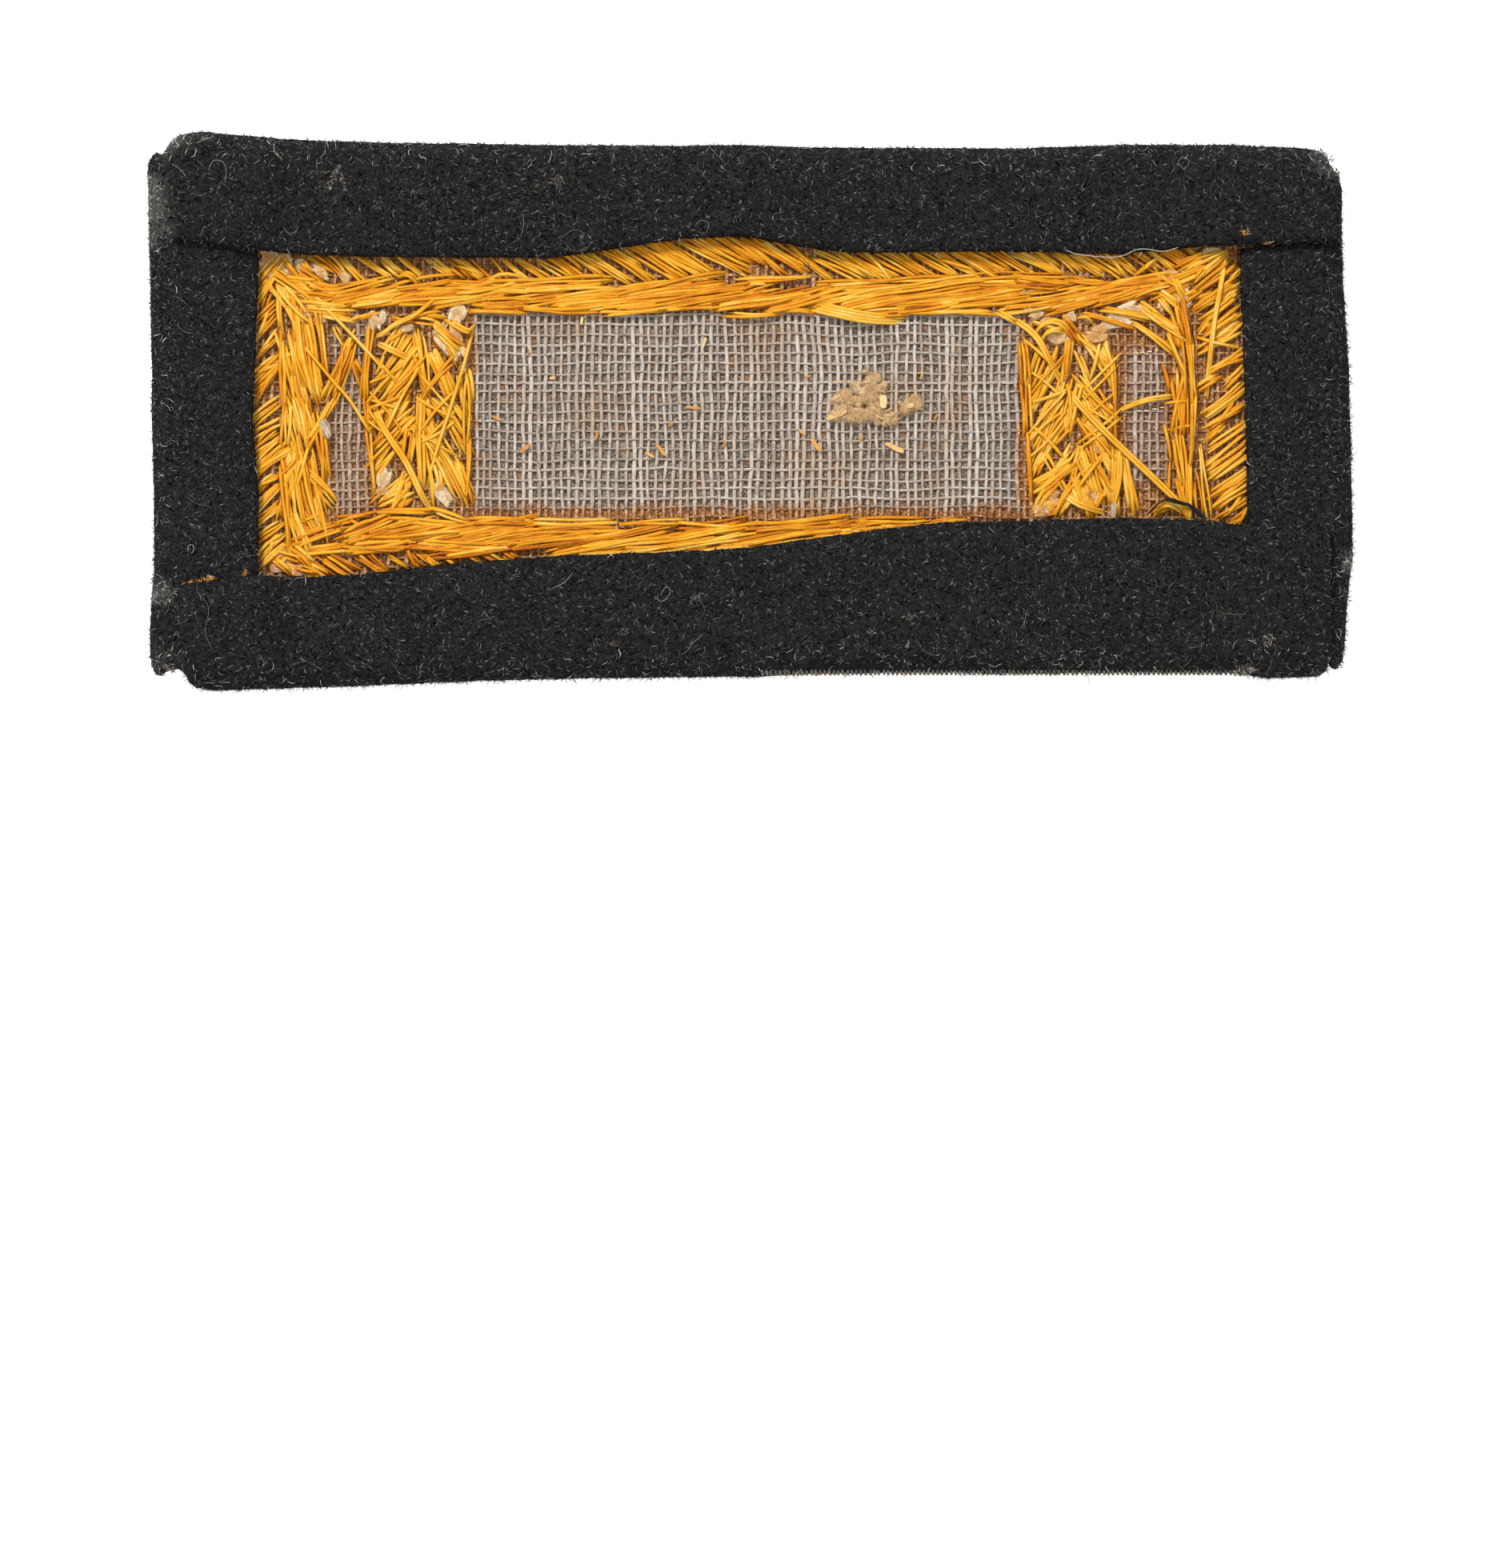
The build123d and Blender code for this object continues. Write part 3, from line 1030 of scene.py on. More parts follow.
    def flat_area(self):
        """Area of the sheet and the size of the rectangle that it was cut from, in millimetres."""
        spots = [Vector(p) for p in self.points]
        area = 0.0
        for a, b, c, d in self.faces:
            area += ((spots[c] - spots[a]).cross(spots[d] - spots[b])).length / 2

        def cut_width(side):
            fold, cut, top = self.lines[side.name][len(self.lines[side.name]) // 2][1]
            radius = (top - PANEL_BOTTOM) / 2 - WOOL_THICKNESS / 2
            start = roll_start(fold, top)
            return start + math.pi * radius + start - cut

        upper, lower, left, right = SIDES
        return area, cut_width(left) + cut_width(right), cut_width(upper) + cut_width(lower)

    def thicken(self):
        """A closed mesh with a rounded rim; returns its places, faces and named values."""
        sheet = mesh_piece("cover_sheet", self.points, self.faces)
        mesh = sheet.data
        count = len(self.points)
        places = np.array(self.points)
        normals = np.array([v.normal[:] for v in mesh.vertices])
        half = (np.array(self.fullness) * WOOL_THICKNESS / 2)[:, None]
        outer = places + normals * half
        inner = places - normals * half
        uses = {}
        for face in self.faces:
            for a, b in zip(face, face[1:] + face[:1]):
                uses[a, b] = True
        rim = [(a, b) for a, b in uses if (b, a) not in uses]
        bulge = {}
        for a, b in rim:
            tangent = places[b] - places[a]
            for corner in (a, b):
                bulge[corner] = bulge.get(corner, 0) + np.cross(tangent, normals[corner])
        number = {corner: 2 * count + n for n, corner in enumerate(bulge)}
        round_edge = [places[c] + RIM_BULGE * v / np.linalg.norm(v) for c, v in bulge.items()]
        points = np.vstack([outer, inner, round_edge])
        faces = list(self.faces)
        faces += [tuple(count + c for c in face[::-1]) for face in self.faces]
        for a, b in rim:
            faces.append((b, a, number[a], number[b]))
            faces.append((number[b], number[a], count + a, count + b))
        bpy.data.objects.remove(sheet)
        rims = list(bulge)
        values = {"wear": self.wear + [0.0] * count + [self.wear[c] for c in rims]}
        for name, numbers in self.patch.items():
            values[name] = numbers + [0.0] * count + [numbers[c] for c in rims]
        return [tuple(p) for p in points], faces, values


# The bent lines that fibres follow, each one millimetre long, and how thick they are
Fibres = namedtuple("Fibres", "around thickness lines")
FIBRE_KINDS = {
    "short": Fibres(2, 0.033, (
        ((-0.5, 0.0), (0.0, 0.05), (0.5, 0.0)), ((-0.5, 0.0), (0.1, -0.09), (0.5, 0.0)),
        ((-0.5, 0.0), (-0.12, 0.14), (0.5, 0.0)), ((-0.45, 0.0), (0.1, 0.22), (0.45, 0.0)),
    )),
    "long": Fibres(3, 0.01, (
        ((-0.5, 0.0), (-0.17, 0.12), (0.2, 0.1), (0.5, -0.06)),
        ((-0.5, 0.0), (-0.2, -0.16), (0.14, -0.05), (0.46, 0.14)),
        ((-0.42, 0.0), (-0.25, 0.22), (0.1, 0.3), (0.4, 0.05)),
        ((-0.5, 0.0), (-0.15, 0.06), (0.2, -0.04), (0.5, 0.1)),
    )),
}

FIBRE_KINDS["stout"] = FIBRE_KINDS["long"]._replace(thickness=0.022)


def fibre_shape(line, around, thickness):
    """A sliver that follows a bent line and comes to a point at both ends."""
    points = [(*line[0], 0.0)]
    for x, y in line[1:-1]:
        for k in range(around):
            angle = 2 * math.pi * k / around + 0.4
            points.append((x, y + thickness * math.cos(angle), 0.05 + thickness * math.sin(angle)))
    points.append((*line[-1], 0.02))
    last = len(points) - 1
    if around == 2:
        return points, [(0, 1, last), (0, last, 2), (0, 2, 1), (last, 1, 2)]
    faces = []
    for k in range(around):
        after = (k + 1) % around
        faces.append((0, 1 + after, 1 + k))
        for ring in range(len(line) - 3):
            first = 1 + ring * around
            faces.append((first + k, first + after, first + around + after, first + around + k))
        faces.append((last - around + k, last - around + after, last))
    return points, faces


def fibre_library(kind):
    """The four fibres of one kind that the scatter picks from."""
    made = {}
    shapes = FIBRE_KINDS[kind]
    for number, line in enumerate(shapes.lines, start=1):
        name = f"{kind}_fibre_{number}"
        if name not in bpy.data.objects:
            mesh_piece(name, *fibre_shape(line, shapes.around, shapes.thickness)).hide_render = True
        made[f"Fibre_{number}"] = bpy.data.objects[name]
    return made


def clear_fibre_library():
    for kind in FIBRE_KINDS:
        for number in (1, 2, 3, 4):
            fibre = bpy.data.objects.get(f"{kind}_fibre_{number}")
            if fibre:
                bpy.data.objects.remove(fibre)


def grow_fibres(name, base, cover, density, seed, lengths, lean, upright, material, kind="short"):
    """Fibres over the part of a base where its named value is above 0; density is per mm2."""
    return tree_of("fibre_scatter").grow(
        name, base, Density=density / MM ** 2, Seed=seed, Shortest=lengths[0], Longest=lengths[1],
        Lean=lean, Upright=upright, Cover=cover, Material=material_of(material), **fibre_library(kind),
    )


# The wool's coats of fibre. Those with a stretch are as long as the settings say, times it
Coat = namedtuple("Coat", "name patch share seed stretch lengths lean upright material kind")
NAP = ((0, 0), 0.9, 2.6, "dark_wool_fibre", "short")
HAIRS_OF_NAP = (None, (0.4, 1.15), 0.35, 2.0, "dark_wool_hair", "long")
COATS = rows_of(
    Coat,
    ("nap_upper", "upper", 1.0, 21, 1.0, *NAP),
    ("nap_lower", "lower", 1.0, 22, 1.0, *NAP),
    ("nap_ends", "ends", 1.0, 23, 1.0, *NAP),
    ("nap_under", "under", 0.06, 24, 1.4, *NAP),
    ("hairs_upper", "upper", 0.13, 25, *HAIRS_OF_NAP),
    ("hairs_lower", "lower", 0.13, 26, *HAIRS_OF_NAP),
    ("hairs_ends", "ends", 0.13, 27, *HAIRS_OF_NAP),
    ("nap_fringe", "fringe", 0.3, 31, None, (0.5, 1.7), 1.4, 0.8, "dark_wool_hair", "stout"),
)


class STRAP_OT_wool_cover(bpy.types.Operator):
    """Make the folded wool cover and its nap"""

    bl_idname = "strap.wool_cover"
    bl_label = "Wool cover"

    def execute(self, context):
        strap = settings()
        cloth = Cloth()
        area, length, width = cloth.flat_area()
        points, faces, values = cloth.thicken()
        cover = mesh_piece("wool_cover_cloth", points, faces, "dark_wool_cloth", **values)
        finish_piece(cover, "dark_wool", "wool_cover")
        for coat in COATS:
            shortest, longest = coat.lengths
            if coat.stretch:
                shortest = strap.nap_shortest * coat.stretch / MM
                longest = strap.nap_longest * coat.stretch / MM
            fibres = grow_fibres(
                f"wool_{coat.name}", cover, coat.patch, strap.nap_density * coat.share, coat.seed,
                (shortest, longest), coat.lean, coat.upright, coat.material, coat.kind,
            )
            finish_piece(fibres, "dark_wool")
        width * MM
        length * MM
        area * MM * MM
        return {"FINISHED"}


# The crinoline

MESH_PITCH_ALONG = 0.784
MESH_PITCH_ACROSS = 0.965
MESH_THREAD_TALL = 0.41
MESH_THREAD_WIDE = 0.25
GROUND_THICKNESS = 0.5
GROUND_RELIEF = 0.06
GROUND_COLUMNS = 76
GROUND_ROWS = 31
WEAVE_HALF_LENGTH = 50.2
WEAVE_HALF_WIDTH = 18.2
WEAVE_DEPTH = 0.24
WEAVE_RISE = 0.1
THREAD_SHIFT = 0.05
THREAD_SWAY = 0.28
THREAD_SHIVER = 0.14
THREAD_WIDTHS = (0.78, 1.16)


class STRAP_OT_crinoline(bpy.types.Operator):
    """Make the stiff open weave of the backing"""

    bl_idname = "strap.crinoline"
    bl_label = "Crinoline"

    def ground(self):
        """The pasted layer under the weave, a closed sheet with a slight relief."""
        low, high = node_box("crinoline")
        across, down = GROUND_COLUMNS, GROUND_ROWS
        points = []
        faces = []
        for level in (0, 1):
            for i in range(across + 1):
                for j in range(down + 1):
                    x = mix(low.x, high.x, i / across)
                    y = mix(low.y, high.y, j / down)
                    relief = GROUND_RELIEF * wander(x * 0.8, y * 0.8) if level else 0.0
                    points.append((x, y, MESH_BOTTOM + level * GROUND_THICKNESS + relief))
        layer = (across + 1) * (down + 1)

        def quad(*corners):
            faces.append(tuple(level * layer + i * (down + 1) + j for i, j, level in corners))

        for i in range(across):
            for j in range(down):
                quad((i, j, 1), (i + 1, j, 1), (i + 1, j + 1, 1), (i, j + 1, 1))
                quad((i, j, 0), (i, j + 1, 0), (i + 1, j + 1, 0), (i + 1, j, 0))
        for i in range(across):
            quad((i, 0, 0), (i + 1, 0, 0), (i + 1, 0, 1), (i, 0, 1))
            quad((i + 1, down, 0), (i, down, 0), (i, down, 1), (i + 1, down, 1))
        for j in range(down):
            quad((0, j + 1, 0), (0, j, 0), (0, j, 1), (0, j + 1, 1))
            quad((across, j, 0), (across, j + 1, 0), (across, j + 1, 1), (across, j, 1))
        return mesh_piece("crinoline_ground", points, faces, "crinoline_ground")

    def weave(self, tall):
        """Threads of one direction, over and under those of the other."""
        pitch, cross = MESH_PITCH_ALONG, MESH_PITCH_ACROSS
        reach, run = WEAVE_HALF_LENGTH, WEAVE_HALF_WIDTH
        if not tall:
            pitch, cross = cross, pitch
            reach, run = run, reach
        paths = Paths(41 if tall else 42)
        count = int(reach / pitch)
        crossings = int(run / cross)
        middle = MESH_TOP - WEAVE_DEPTH
        for i in range(-count, count + 1):
            line = i * pitch + paths.chance.gauss(0, THREAD_SHIFT)
            width = (MESH_THREAD_TALL if tall else MESH_THREAD_WIDE) * paths.chance.uniform(*THREAD_WIDTHS)
            path = []
            for k in range(-crossings, crossings + 1):
                spot = k * cross
                rise = WEAVE_RISE * (1 if (i + k) % 2 else -1) * (1 if tall else -1)
                sway = THREAD_SWAY * wander(spot * 0.16, i * 0.35, 5.0)
                place = line + (sway + THREAD_SHIVER * wander(spot * 0.8, i * 3.1, 2.0))
                x, y = (place, spot) if tall else (spot, place)
                path.append((x, y, middle + rise))
            paths.add(path, width, paths.chance.random(), 1.0)
        name = "crinoline_tall_threads" if tall else "crinoline_wide_threads"
        piece = paths.grow(name, "crinoline_thread", 0.55 if tall else 0.8, 6)
        return finish_piece(piece, "crinoline")

    def execute(self, context):
        ground = finish_piece(self.ground(), "crinoline", "crinoline")
        threads = [self.weave(True), self.weave(False)]
        return {"FINISHED"}


# The silk. A bundle runs from one place of the photograph to another, with its strands side by side

Bundle = namedtuple("Bundle", "x0 y0 x1 y1 strands", defaults=[3])

TOP_OUTER = rows_of(
    Bundle,
    (385, 318, 421, 341, 4), (404, 318, 434, 350, 4), (424, 322, 460, 357), (448, 319, 488, 347, 4),
    (476, 318, 504, 344), (497, 320, 528, 346), (537, 322, 571, 349), (560, 322, 590, 348),
    (569, 326, 607, 351, 4), (588, 322, 622, 353, 2), (612, 322, 641, 355, 2), (626, 322, 669, 353),
    (643, 322, 691, 353), (668, 320, 719, 351, 4), (690, 320, 734, 350), (708, 314, 756, 346, 4),
    (722, 312, 795, 355, 4), (744, 310, 821, 355, 4), (762, 308, 802, 335), (780, 304, 862, 353, 7),
    (804, 300, 893, 350, 4), (820, 297, 904, 348), (852, 294, 940, 342, 5), (876, 294, 940, 329, 4),
    (900, 292, 960, 330, 4), (922, 296, 984, 345, 4), (930, 292, 1010, 342, 4), (950, 296, 1008, 334),
    (986, 308, 1042, 352), (1012, 316, 1084, 351, 4), (1046, 314, 1106, 350, 5),
    (1062, 312, 1126, 349, 5), (1094, 312, 1155, 348, 4), (1114, 312, 1173, 347),
    (1142, 312, 1202, 348), (1162, 310, 1231, 348, 4), (1182, 309, 1256, 347, 5),
    (1207, 309, 1265, 341), (1240, 312, 1296, 346, 4), (1266, 314, 1327, 341, 5),
    (1290, 312, 1322, 335), (1316, 314, 1350, 341, 4), (1336, 314, 1380, 343, 4),
    (1356, 314, 1407, 345, 4), (1386, 313, 1422, 343, 4), (1412, 312, 1450, 340, 4),
    (1430, 310, 1472, 340, 4), (1450, 308, 1497, 339, 5), (1480, 306, 1510, 330),
)
TOP_INNER = rows_of(
    Bundle,
    (383, 351, 429, 365, 4), (392, 372, 482, 351, 5), (405, 380, 500, 362, 4), (430, 383, 540, 366, 5),
    (482, 369, 573, 353, 5), (486, 378, 600, 368, 4), (517, 369, 622, 347), (530, 380, 640, 362, 5),
    (560, 356, 660, 358, 4), (600, 361, 765, 349, 5), (600, 374, 721, 364, 6), (600, 381, 665, 378),
    (687, 377, 880, 354, 6), (690, 382, 795, 371, 4), (773, 382, 940, 358, 6), (828, 382, 970, 366, 5),
    (760, 366, 900, 349, 4), (888, 383, 1010, 364, 5), (930, 366, 968, 355), (930, 351, 1008, 347, 2),
    (948, 384, 1055, 355, 5), (1015, 378, 1131, 362, 5), (1019, 358, 1202, 350, 4),
    (1037, 385, 1234, 354, 6), (1073, 387, 1280, 360, 6), (1120, 388, 1215, 378),
    (1175, 384, 1290, 366, 5), (1205, 352, 1330, 348, 4), (1240, 378, 1362, 361, 6),
    (1250, 388, 1345, 374, 4), (1313, 386, 1456, 354, 7), (1331, 347, 1391, 355),
    (1391, 355, 1460, 346), (1330, 368, 1462, 350, 5), (1362, 382, 1440, 362),
    (1260, 351, 1340, 357, 4),
)
LEFT_OUTER = rows_of(
    Bundle,
    (322, 372, 340, 338), (328, 385, 340, 352), (318, 424, 348, 388, 4), (318, 448, 349, 414),
    (316, 478, 352, 445, 5), (316, 492, 354, 452), (316, 503, 365, 434), (314, 527, 350, 500, 4),
    (316, 544, 352, 524), (314, 568, 352, 541, 5), (318, 582, 350, 551, 4), (318, 590, 365, 558),
    (318, 616, 348, 592), (318, 638, 350, 606, 5), (318, 655, 352, 626, 5), (322, 674, 354, 652),
    (322, 697, 354, 666, 4), (326, 708, 356, 680, 4), (316, 404, 346, 374, 2), (318, 598, 346, 574, 2),
)
LEFT_INNER = rows_of(
    Bundle,
    (361, 360, 372, 425, 4), (373, 385, 393, 500, 4), (366, 420, 382, 500, 4), (362, 470, 370, 502),
    (384, 398, 402, 498), (395, 396, 408, 470, 2), (363, 498, 380, 550, 6), (376, 500, 386, 556),
    (372, 560, 352, 610), (369, 549, 393, 655), (383, 587, 417, 629), (365, 560, 378, 660),
    (357, 560, 372, 680, 2), (388, 560, 405, 640), (396, 520, 410, 600), (362, 600, 352, 640),
    (370, 655, 410, 640, 2), (392, 610, 404, 668), (380, 640, 398, 670), (365, 640, 384, 690, 4),
    (403, 500, 438, 423), (417, 500, 442, 427), (438, 444, 452, 478), (416, 402, 432, 432, 2),
    (384, 384, 430, 392, 4), (352, 420, 366, 480),
)
LEFT_SPINE = rows_of(
    Bundle,
    (349, 352, 353, 420, 2), (352, 415, 356, 510, 2), (357, 500, 355, 560, 2), (349, 572, 359, 690, 2),
    (415, 500, 383, 557, 2), (383, 557, 371, 605, 2),
)
BAR_A = rows_of(
    Bundle,
    (468, 482, 516, 416, 5), (474, 500, 524, 430, 4), (480, 508, 530, 448), (466, 565, 518, 512, 4),
    (467, 590, 520, 524, 4), (478, 540, 512, 492), (470, 628, 512, 590), (476, 520, 498, 492),
    (480, 440, 500, 408), (490, 646, 508, 593), (472, 632, 514, 612), (508, 580, 516, 536),
    (462, 540, 476, 508, 2), (470, 470, 482, 440, 2),
)
BAR_B = rows_of(
    Bundle,
    (520, 418, 534, 500, 4), (533, 438, 563, 498, 4), (528, 526, 582, 622, 6), (536, 500, 556, 520),
    (548, 500, 584, 566, 4), (540, 400, 560, 420), (526, 520, 548, 626), (565, 500, 584, 530),
    (545, 440, 572, 500, 2), (583, 464, 589, 500, 2), (530, 500, 540, 560), (556, 400, 586, 414),
    (572, 470, 586, 520, 2), (570, 580, 586, 628),
)
BAR_C = rows_of(
    Bundle,
    (1286, 600, 1330, 470), (1296, 636, 1340, 560), (1300, 560, 1336, 620, 2),
    (1285, 515, 1311, 470, 4), (1289, 558, 1327, 484, 5), (1297, 578, 1338, 502, 4),
    (1286, 480, 1300, 440), (1296, 500, 1322, 446, 4), (1291, 611, 1342, 576, 4),
    (1294, 632, 1330, 592), (1323, 643, 1350, 594), (1330, 540, 1346, 480), (1310, 560, 1348, 520),
    (1300, 640, 1322, 630), (1330, 480, 1336, 420), (1290, 595, 1312, 560), (1308, 480, 1322, 430, 2),
    (1338, 600, 1350, 560),
)
BAR_D = rows_of(
    Bundle,
    (1350, 560, 1372, 630), (1352, 500, 1390, 580), (1346, 596, 1392, 560, 2), (1360, 640, 1392, 600),
    (1344, 470, 1386, 520), (1342, 410, 1387, 470), (1362, 480, 1391, 533, 4), (1356, 558, 1383, 631),
    (1368, 578, 1396, 630), (1350, 480, 1372, 520), (1352, 520, 1380, 560, 4), (1366, 430, 1392, 480),
    (1378, 427, 1393, 478), (1345, 440, 1362, 480), (1354, 610, 1366, 645, 4), (1380, 560, 1394, 600),
    (1403, 562, 1416, 641, 4), (1360, 500, 1376, 545), (1340, 600, 1356, 640), (1375, 500, 1392, 520),
)
BAR_EDGES = rows_of(
    Bundle,
    (462, 411, 455, 500), (457, 500, 460, 536, 2), (460, 536, 468, 619, 2), (524, 495, 525, 611, 2),
    (583, 470, 582, 560, 2), (584, 540, 582, 631, 2), (1278, 422, 1282, 478, 2),
    (1281, 478, 1284, 541, 2), (1284, 538, 1289, 632, 2), (1390, 440, 1394, 554, 2),
    (1395, 557, 1397, 644), (1336, 420, 1332, 478, 2),
)
RIGHT_INNER = rows_of(
    Bundle,
    (1466, 376, 1482, 424), (1460, 420, 1482, 476), (1452, 452, 1460, 490, 1),
    (1455, 524, 1462, 566, 1), (1423, 380, 1478, 420), (1419, 406, 1464, 439, 2),
    (1472, 538, 1482, 620, 4), (1462, 570, 1466, 640, 1), (1474, 600, 1482, 648),
    (1494, 600, 1500, 646, 2), (1440, 642, 1460, 632), (1457, 596, 1460, 628, 1),
    (1477, 470, 1480, 536, 5), (1448, 366, 1470, 392, 2), (1470, 470, 1474, 540, 4),
)
RIGHT_SPINE = rows_of(
    Bundle,
    (1476, 357, 1486, 430, 2), (1485, 425, 1491, 505), (1491, 500, 1487, 580, 2),
    (1487, 575, 1485, 646, 2), (1500, 560, 1511, 648, 1), (1468, 504, 1486, 502, 1),
    (1470, 536, 1488, 534, 1),
)
RIGHT_OUTER = rows_of(
    Bundle,
    (1495, 371, 1519, 355, 4), (1492, 388, 1522, 372), (1499, 418, 1548, 352, 4),
    (1500, 345, 1530, 322, 4), (1535, 352, 1556, 330), (1515, 427, 1553, 398, 4),
    (1497, 440, 1550, 412), (1509, 467, 1556, 436, 4), (1530, 480, 1558, 456), (1498, 486, 1524, 470),
    (1505, 521, 1556, 481, 5), (1507, 535, 1557, 506, 4), (1511, 562, 1562, 524, 4),
    (1507, 585, 1563, 545, 6), (1512, 600, 1563, 562, 4), (1517, 621, 1565, 584, 4),
    (1513, 636, 1565, 599, 4), (1520, 644, 1565, 614, 4), (1536, 656, 1565, 634),
    (1508, 548, 1530, 532),
)
BOTTOM_OUTER = rows_of(
    Bundle,
    (380, 696, 420, 722, 4), (405, 694, 448, 720, 5), (448, 690, 486, 718, 6), (482, 694, 512, 712),
    (506, 690, 530, 712), (520, 690, 552, 712, 4), (545, 690, 572, 708), (580, 688, 606, 706),
    (604, 690, 630, 704), (352, 700, 372, 722, 4), (628, 690, 650, 702),
)
BOTTOM_INNER = rows_of(
    Bundle,
    (363, 682, 421, 658, 4), (421, 658, 450, 652), (424, 676, 484, 652, 6), (436, 680, 540, 664, 4),
    (448, 676, 577, 658, 5), (430, 688, 520, 676, 4), (527, 682, 622, 663, 8), (540, 690, 640, 680, 5),
    (560, 672, 665, 652, 5), (600, 674, 756, 662, 6), (600, 687, 667, 669, 4), (639, 683, 784, 666, 4),
    (600, 662, 667, 655, 4), (680, 692, 845, 662, 7), (719, 695, 940, 667, 7), (846, 664, 935, 654, 4),
    (780, 690, 900, 676, 4), (930, 660, 1055, 650, 5), (900, 682, 1064, 657, 7),
    (1006, 671, 1095, 657, 4), (1060, 660, 1130, 652, 4), (367, 694, 430, 681), (430, 681, 510, 683),
    (510, 683, 622, 688), (460, 668, 540, 650, 4), (1100, 662, 1200, 654, 4),
)
RUNNING = rows_of(
    Bundle,
    (423, 648, 470, 640, 2), (470, 640, 540, 638, 2), (539, 638, 587, 652, 2), (484, 651, 580, 655, 2),
    (587, 652, 665, 650), (665, 656, 769, 655), (780, 654, 856, 651, 2), (1068, 650, 1155, 648, 2),
    (1168, 651, 1200, 650, 1), (583, 386, 652, 387, 2), (652, 386, 750, 389, 2),
    (750, 389, 826, 385, 2), (826, 386, 900, 386, 1), (905, 392, 972, 391, 2), (978, 389, 1020, 390, 2),
    (1130, 390, 1245, 392, 2), (1200, 392, 1246, 392, 1),
)

# Flat stained silk and wax that fills in under the strands
FLAT_SILK = rows_of(
    Bundle,
    (1476, 540, 1482, 600), (1480, 596, 1486, 650), (1464, 400, 1478, 440), (1450, 350, 1490, 372, 6),
    (1440, 380, 1470, 372, 5), (1306, 404, 1342, 412, 4), (1350, 520, 1372, 560, 5),
    (1346, 600, 1372, 640, 4), (1294, 640, 1330, 636, 4), (366, 400, 380, 470, 5),
    (372, 470, 384, 560, 6), (378, 560, 392, 640, 6), (390, 630, 408, 668, 5), (340, 346, 380, 380, 7),
    (352, 360, 420, 366, 7), (340, 700, 376, 690, 6), (372, 712, 410, 716, 5), (536, 556, 578, 622, 6),
    (544, 408, 560, 440, 5), (360, 660, 400, 668, 4), (420, 370, 560, 366, 5),
    (1360, 372, 1450, 364, 5), (700, 372, 900, 366, 4), (1100, 372, 1260, 368, 4),
    (450, 668, 640, 670, 5), (480, 640, 520, 620), (330, 334, 370, 336, 8), (1480, 336, 1524, 326, 6),
)

# Loose strands that wander over the others, each through a few places of the photograph
Loose = namedtuple("Loose", "strands places")
LOOSE_STRANDS = rows_of(
    Loose,
    (1, ((379, 357), (421, 399), (457, 437), (505, 490))),
    (1, ((371, 422), (391, 446), (421, 482), (437, 500), (460, 536), (466, 545))),
    (2, ((464, 500), (480, 536), (508, 579), (525, 615), (538, 638))),
    (2, ((549, 371), (537, 379), (516, 395), (494, 405), (478, 417), (468, 420))),
    (1, ((593, 404), (579, 458), (566, 500), (547, 559), (531, 613))),
    (1, ((533, 438), (517, 470), (500, 500), (486, 530), (467, 566))),
    (2, ((470, 428), (495, 440), (520, 452))),
    (1, ((468, 446), (488, 468), (508, 493))),
    (2, ((559, 400), (573, 408), (585, 414), (593, 405))),
    (2, ((498, 345), (507, 342), (516, 346), (526, 358))),
    (1, ((600, 356), (624, 343), (645, 344), (662, 350))),
    (2, ((1327, 478), (1354, 511), (1393, 551), (1466, 621), (1484, 643))),
    (2, ((1262, 394), (1293, 418), (1312, 450), (1328, 480))),
    (1, ((1277, 421), (1305, 446), (1334, 478))),
    (2, ((1400, 512), (1433, 500), (1472, 494))),
    (2, ((1340, 619), (1362, 590), (1391, 553))),
    (2, ((1325, 614), (1350, 631), (1383, 641))),
    (1, ((1376, 422), (1370, 450), (1361, 480))),
    (2, ((1533, 310), (1527, 350), (1520, 390), (1514, 432), (1508, 500))),
    (1, ((1494, 420), (1518, 428), (1554, 435))),
    (2, ((1417, 345), (1434, 332), (1454, 317))),
    (4, ((1010, 380), (1040, 388), (1084, 397), (1131, 399))),
    (2, ((1243, 387), (1259, 396), (1275, 405))),
    (2, ((1442, 646), (1452, 633), (1464, 631), (1484, 642))),
    (2, ((509, 540), (515, 534), (519, 538), (517, 556))),
    (2, ((1292, 424), (1300, 408), (1316, 401), (1332, 408), (1338, 424))),
    (2, ((1298, 434), (1308, 416), (1324, 412), (1334, 420))),
    (1, ((1344, 398), (1358, 396), (1368, 406))),
)

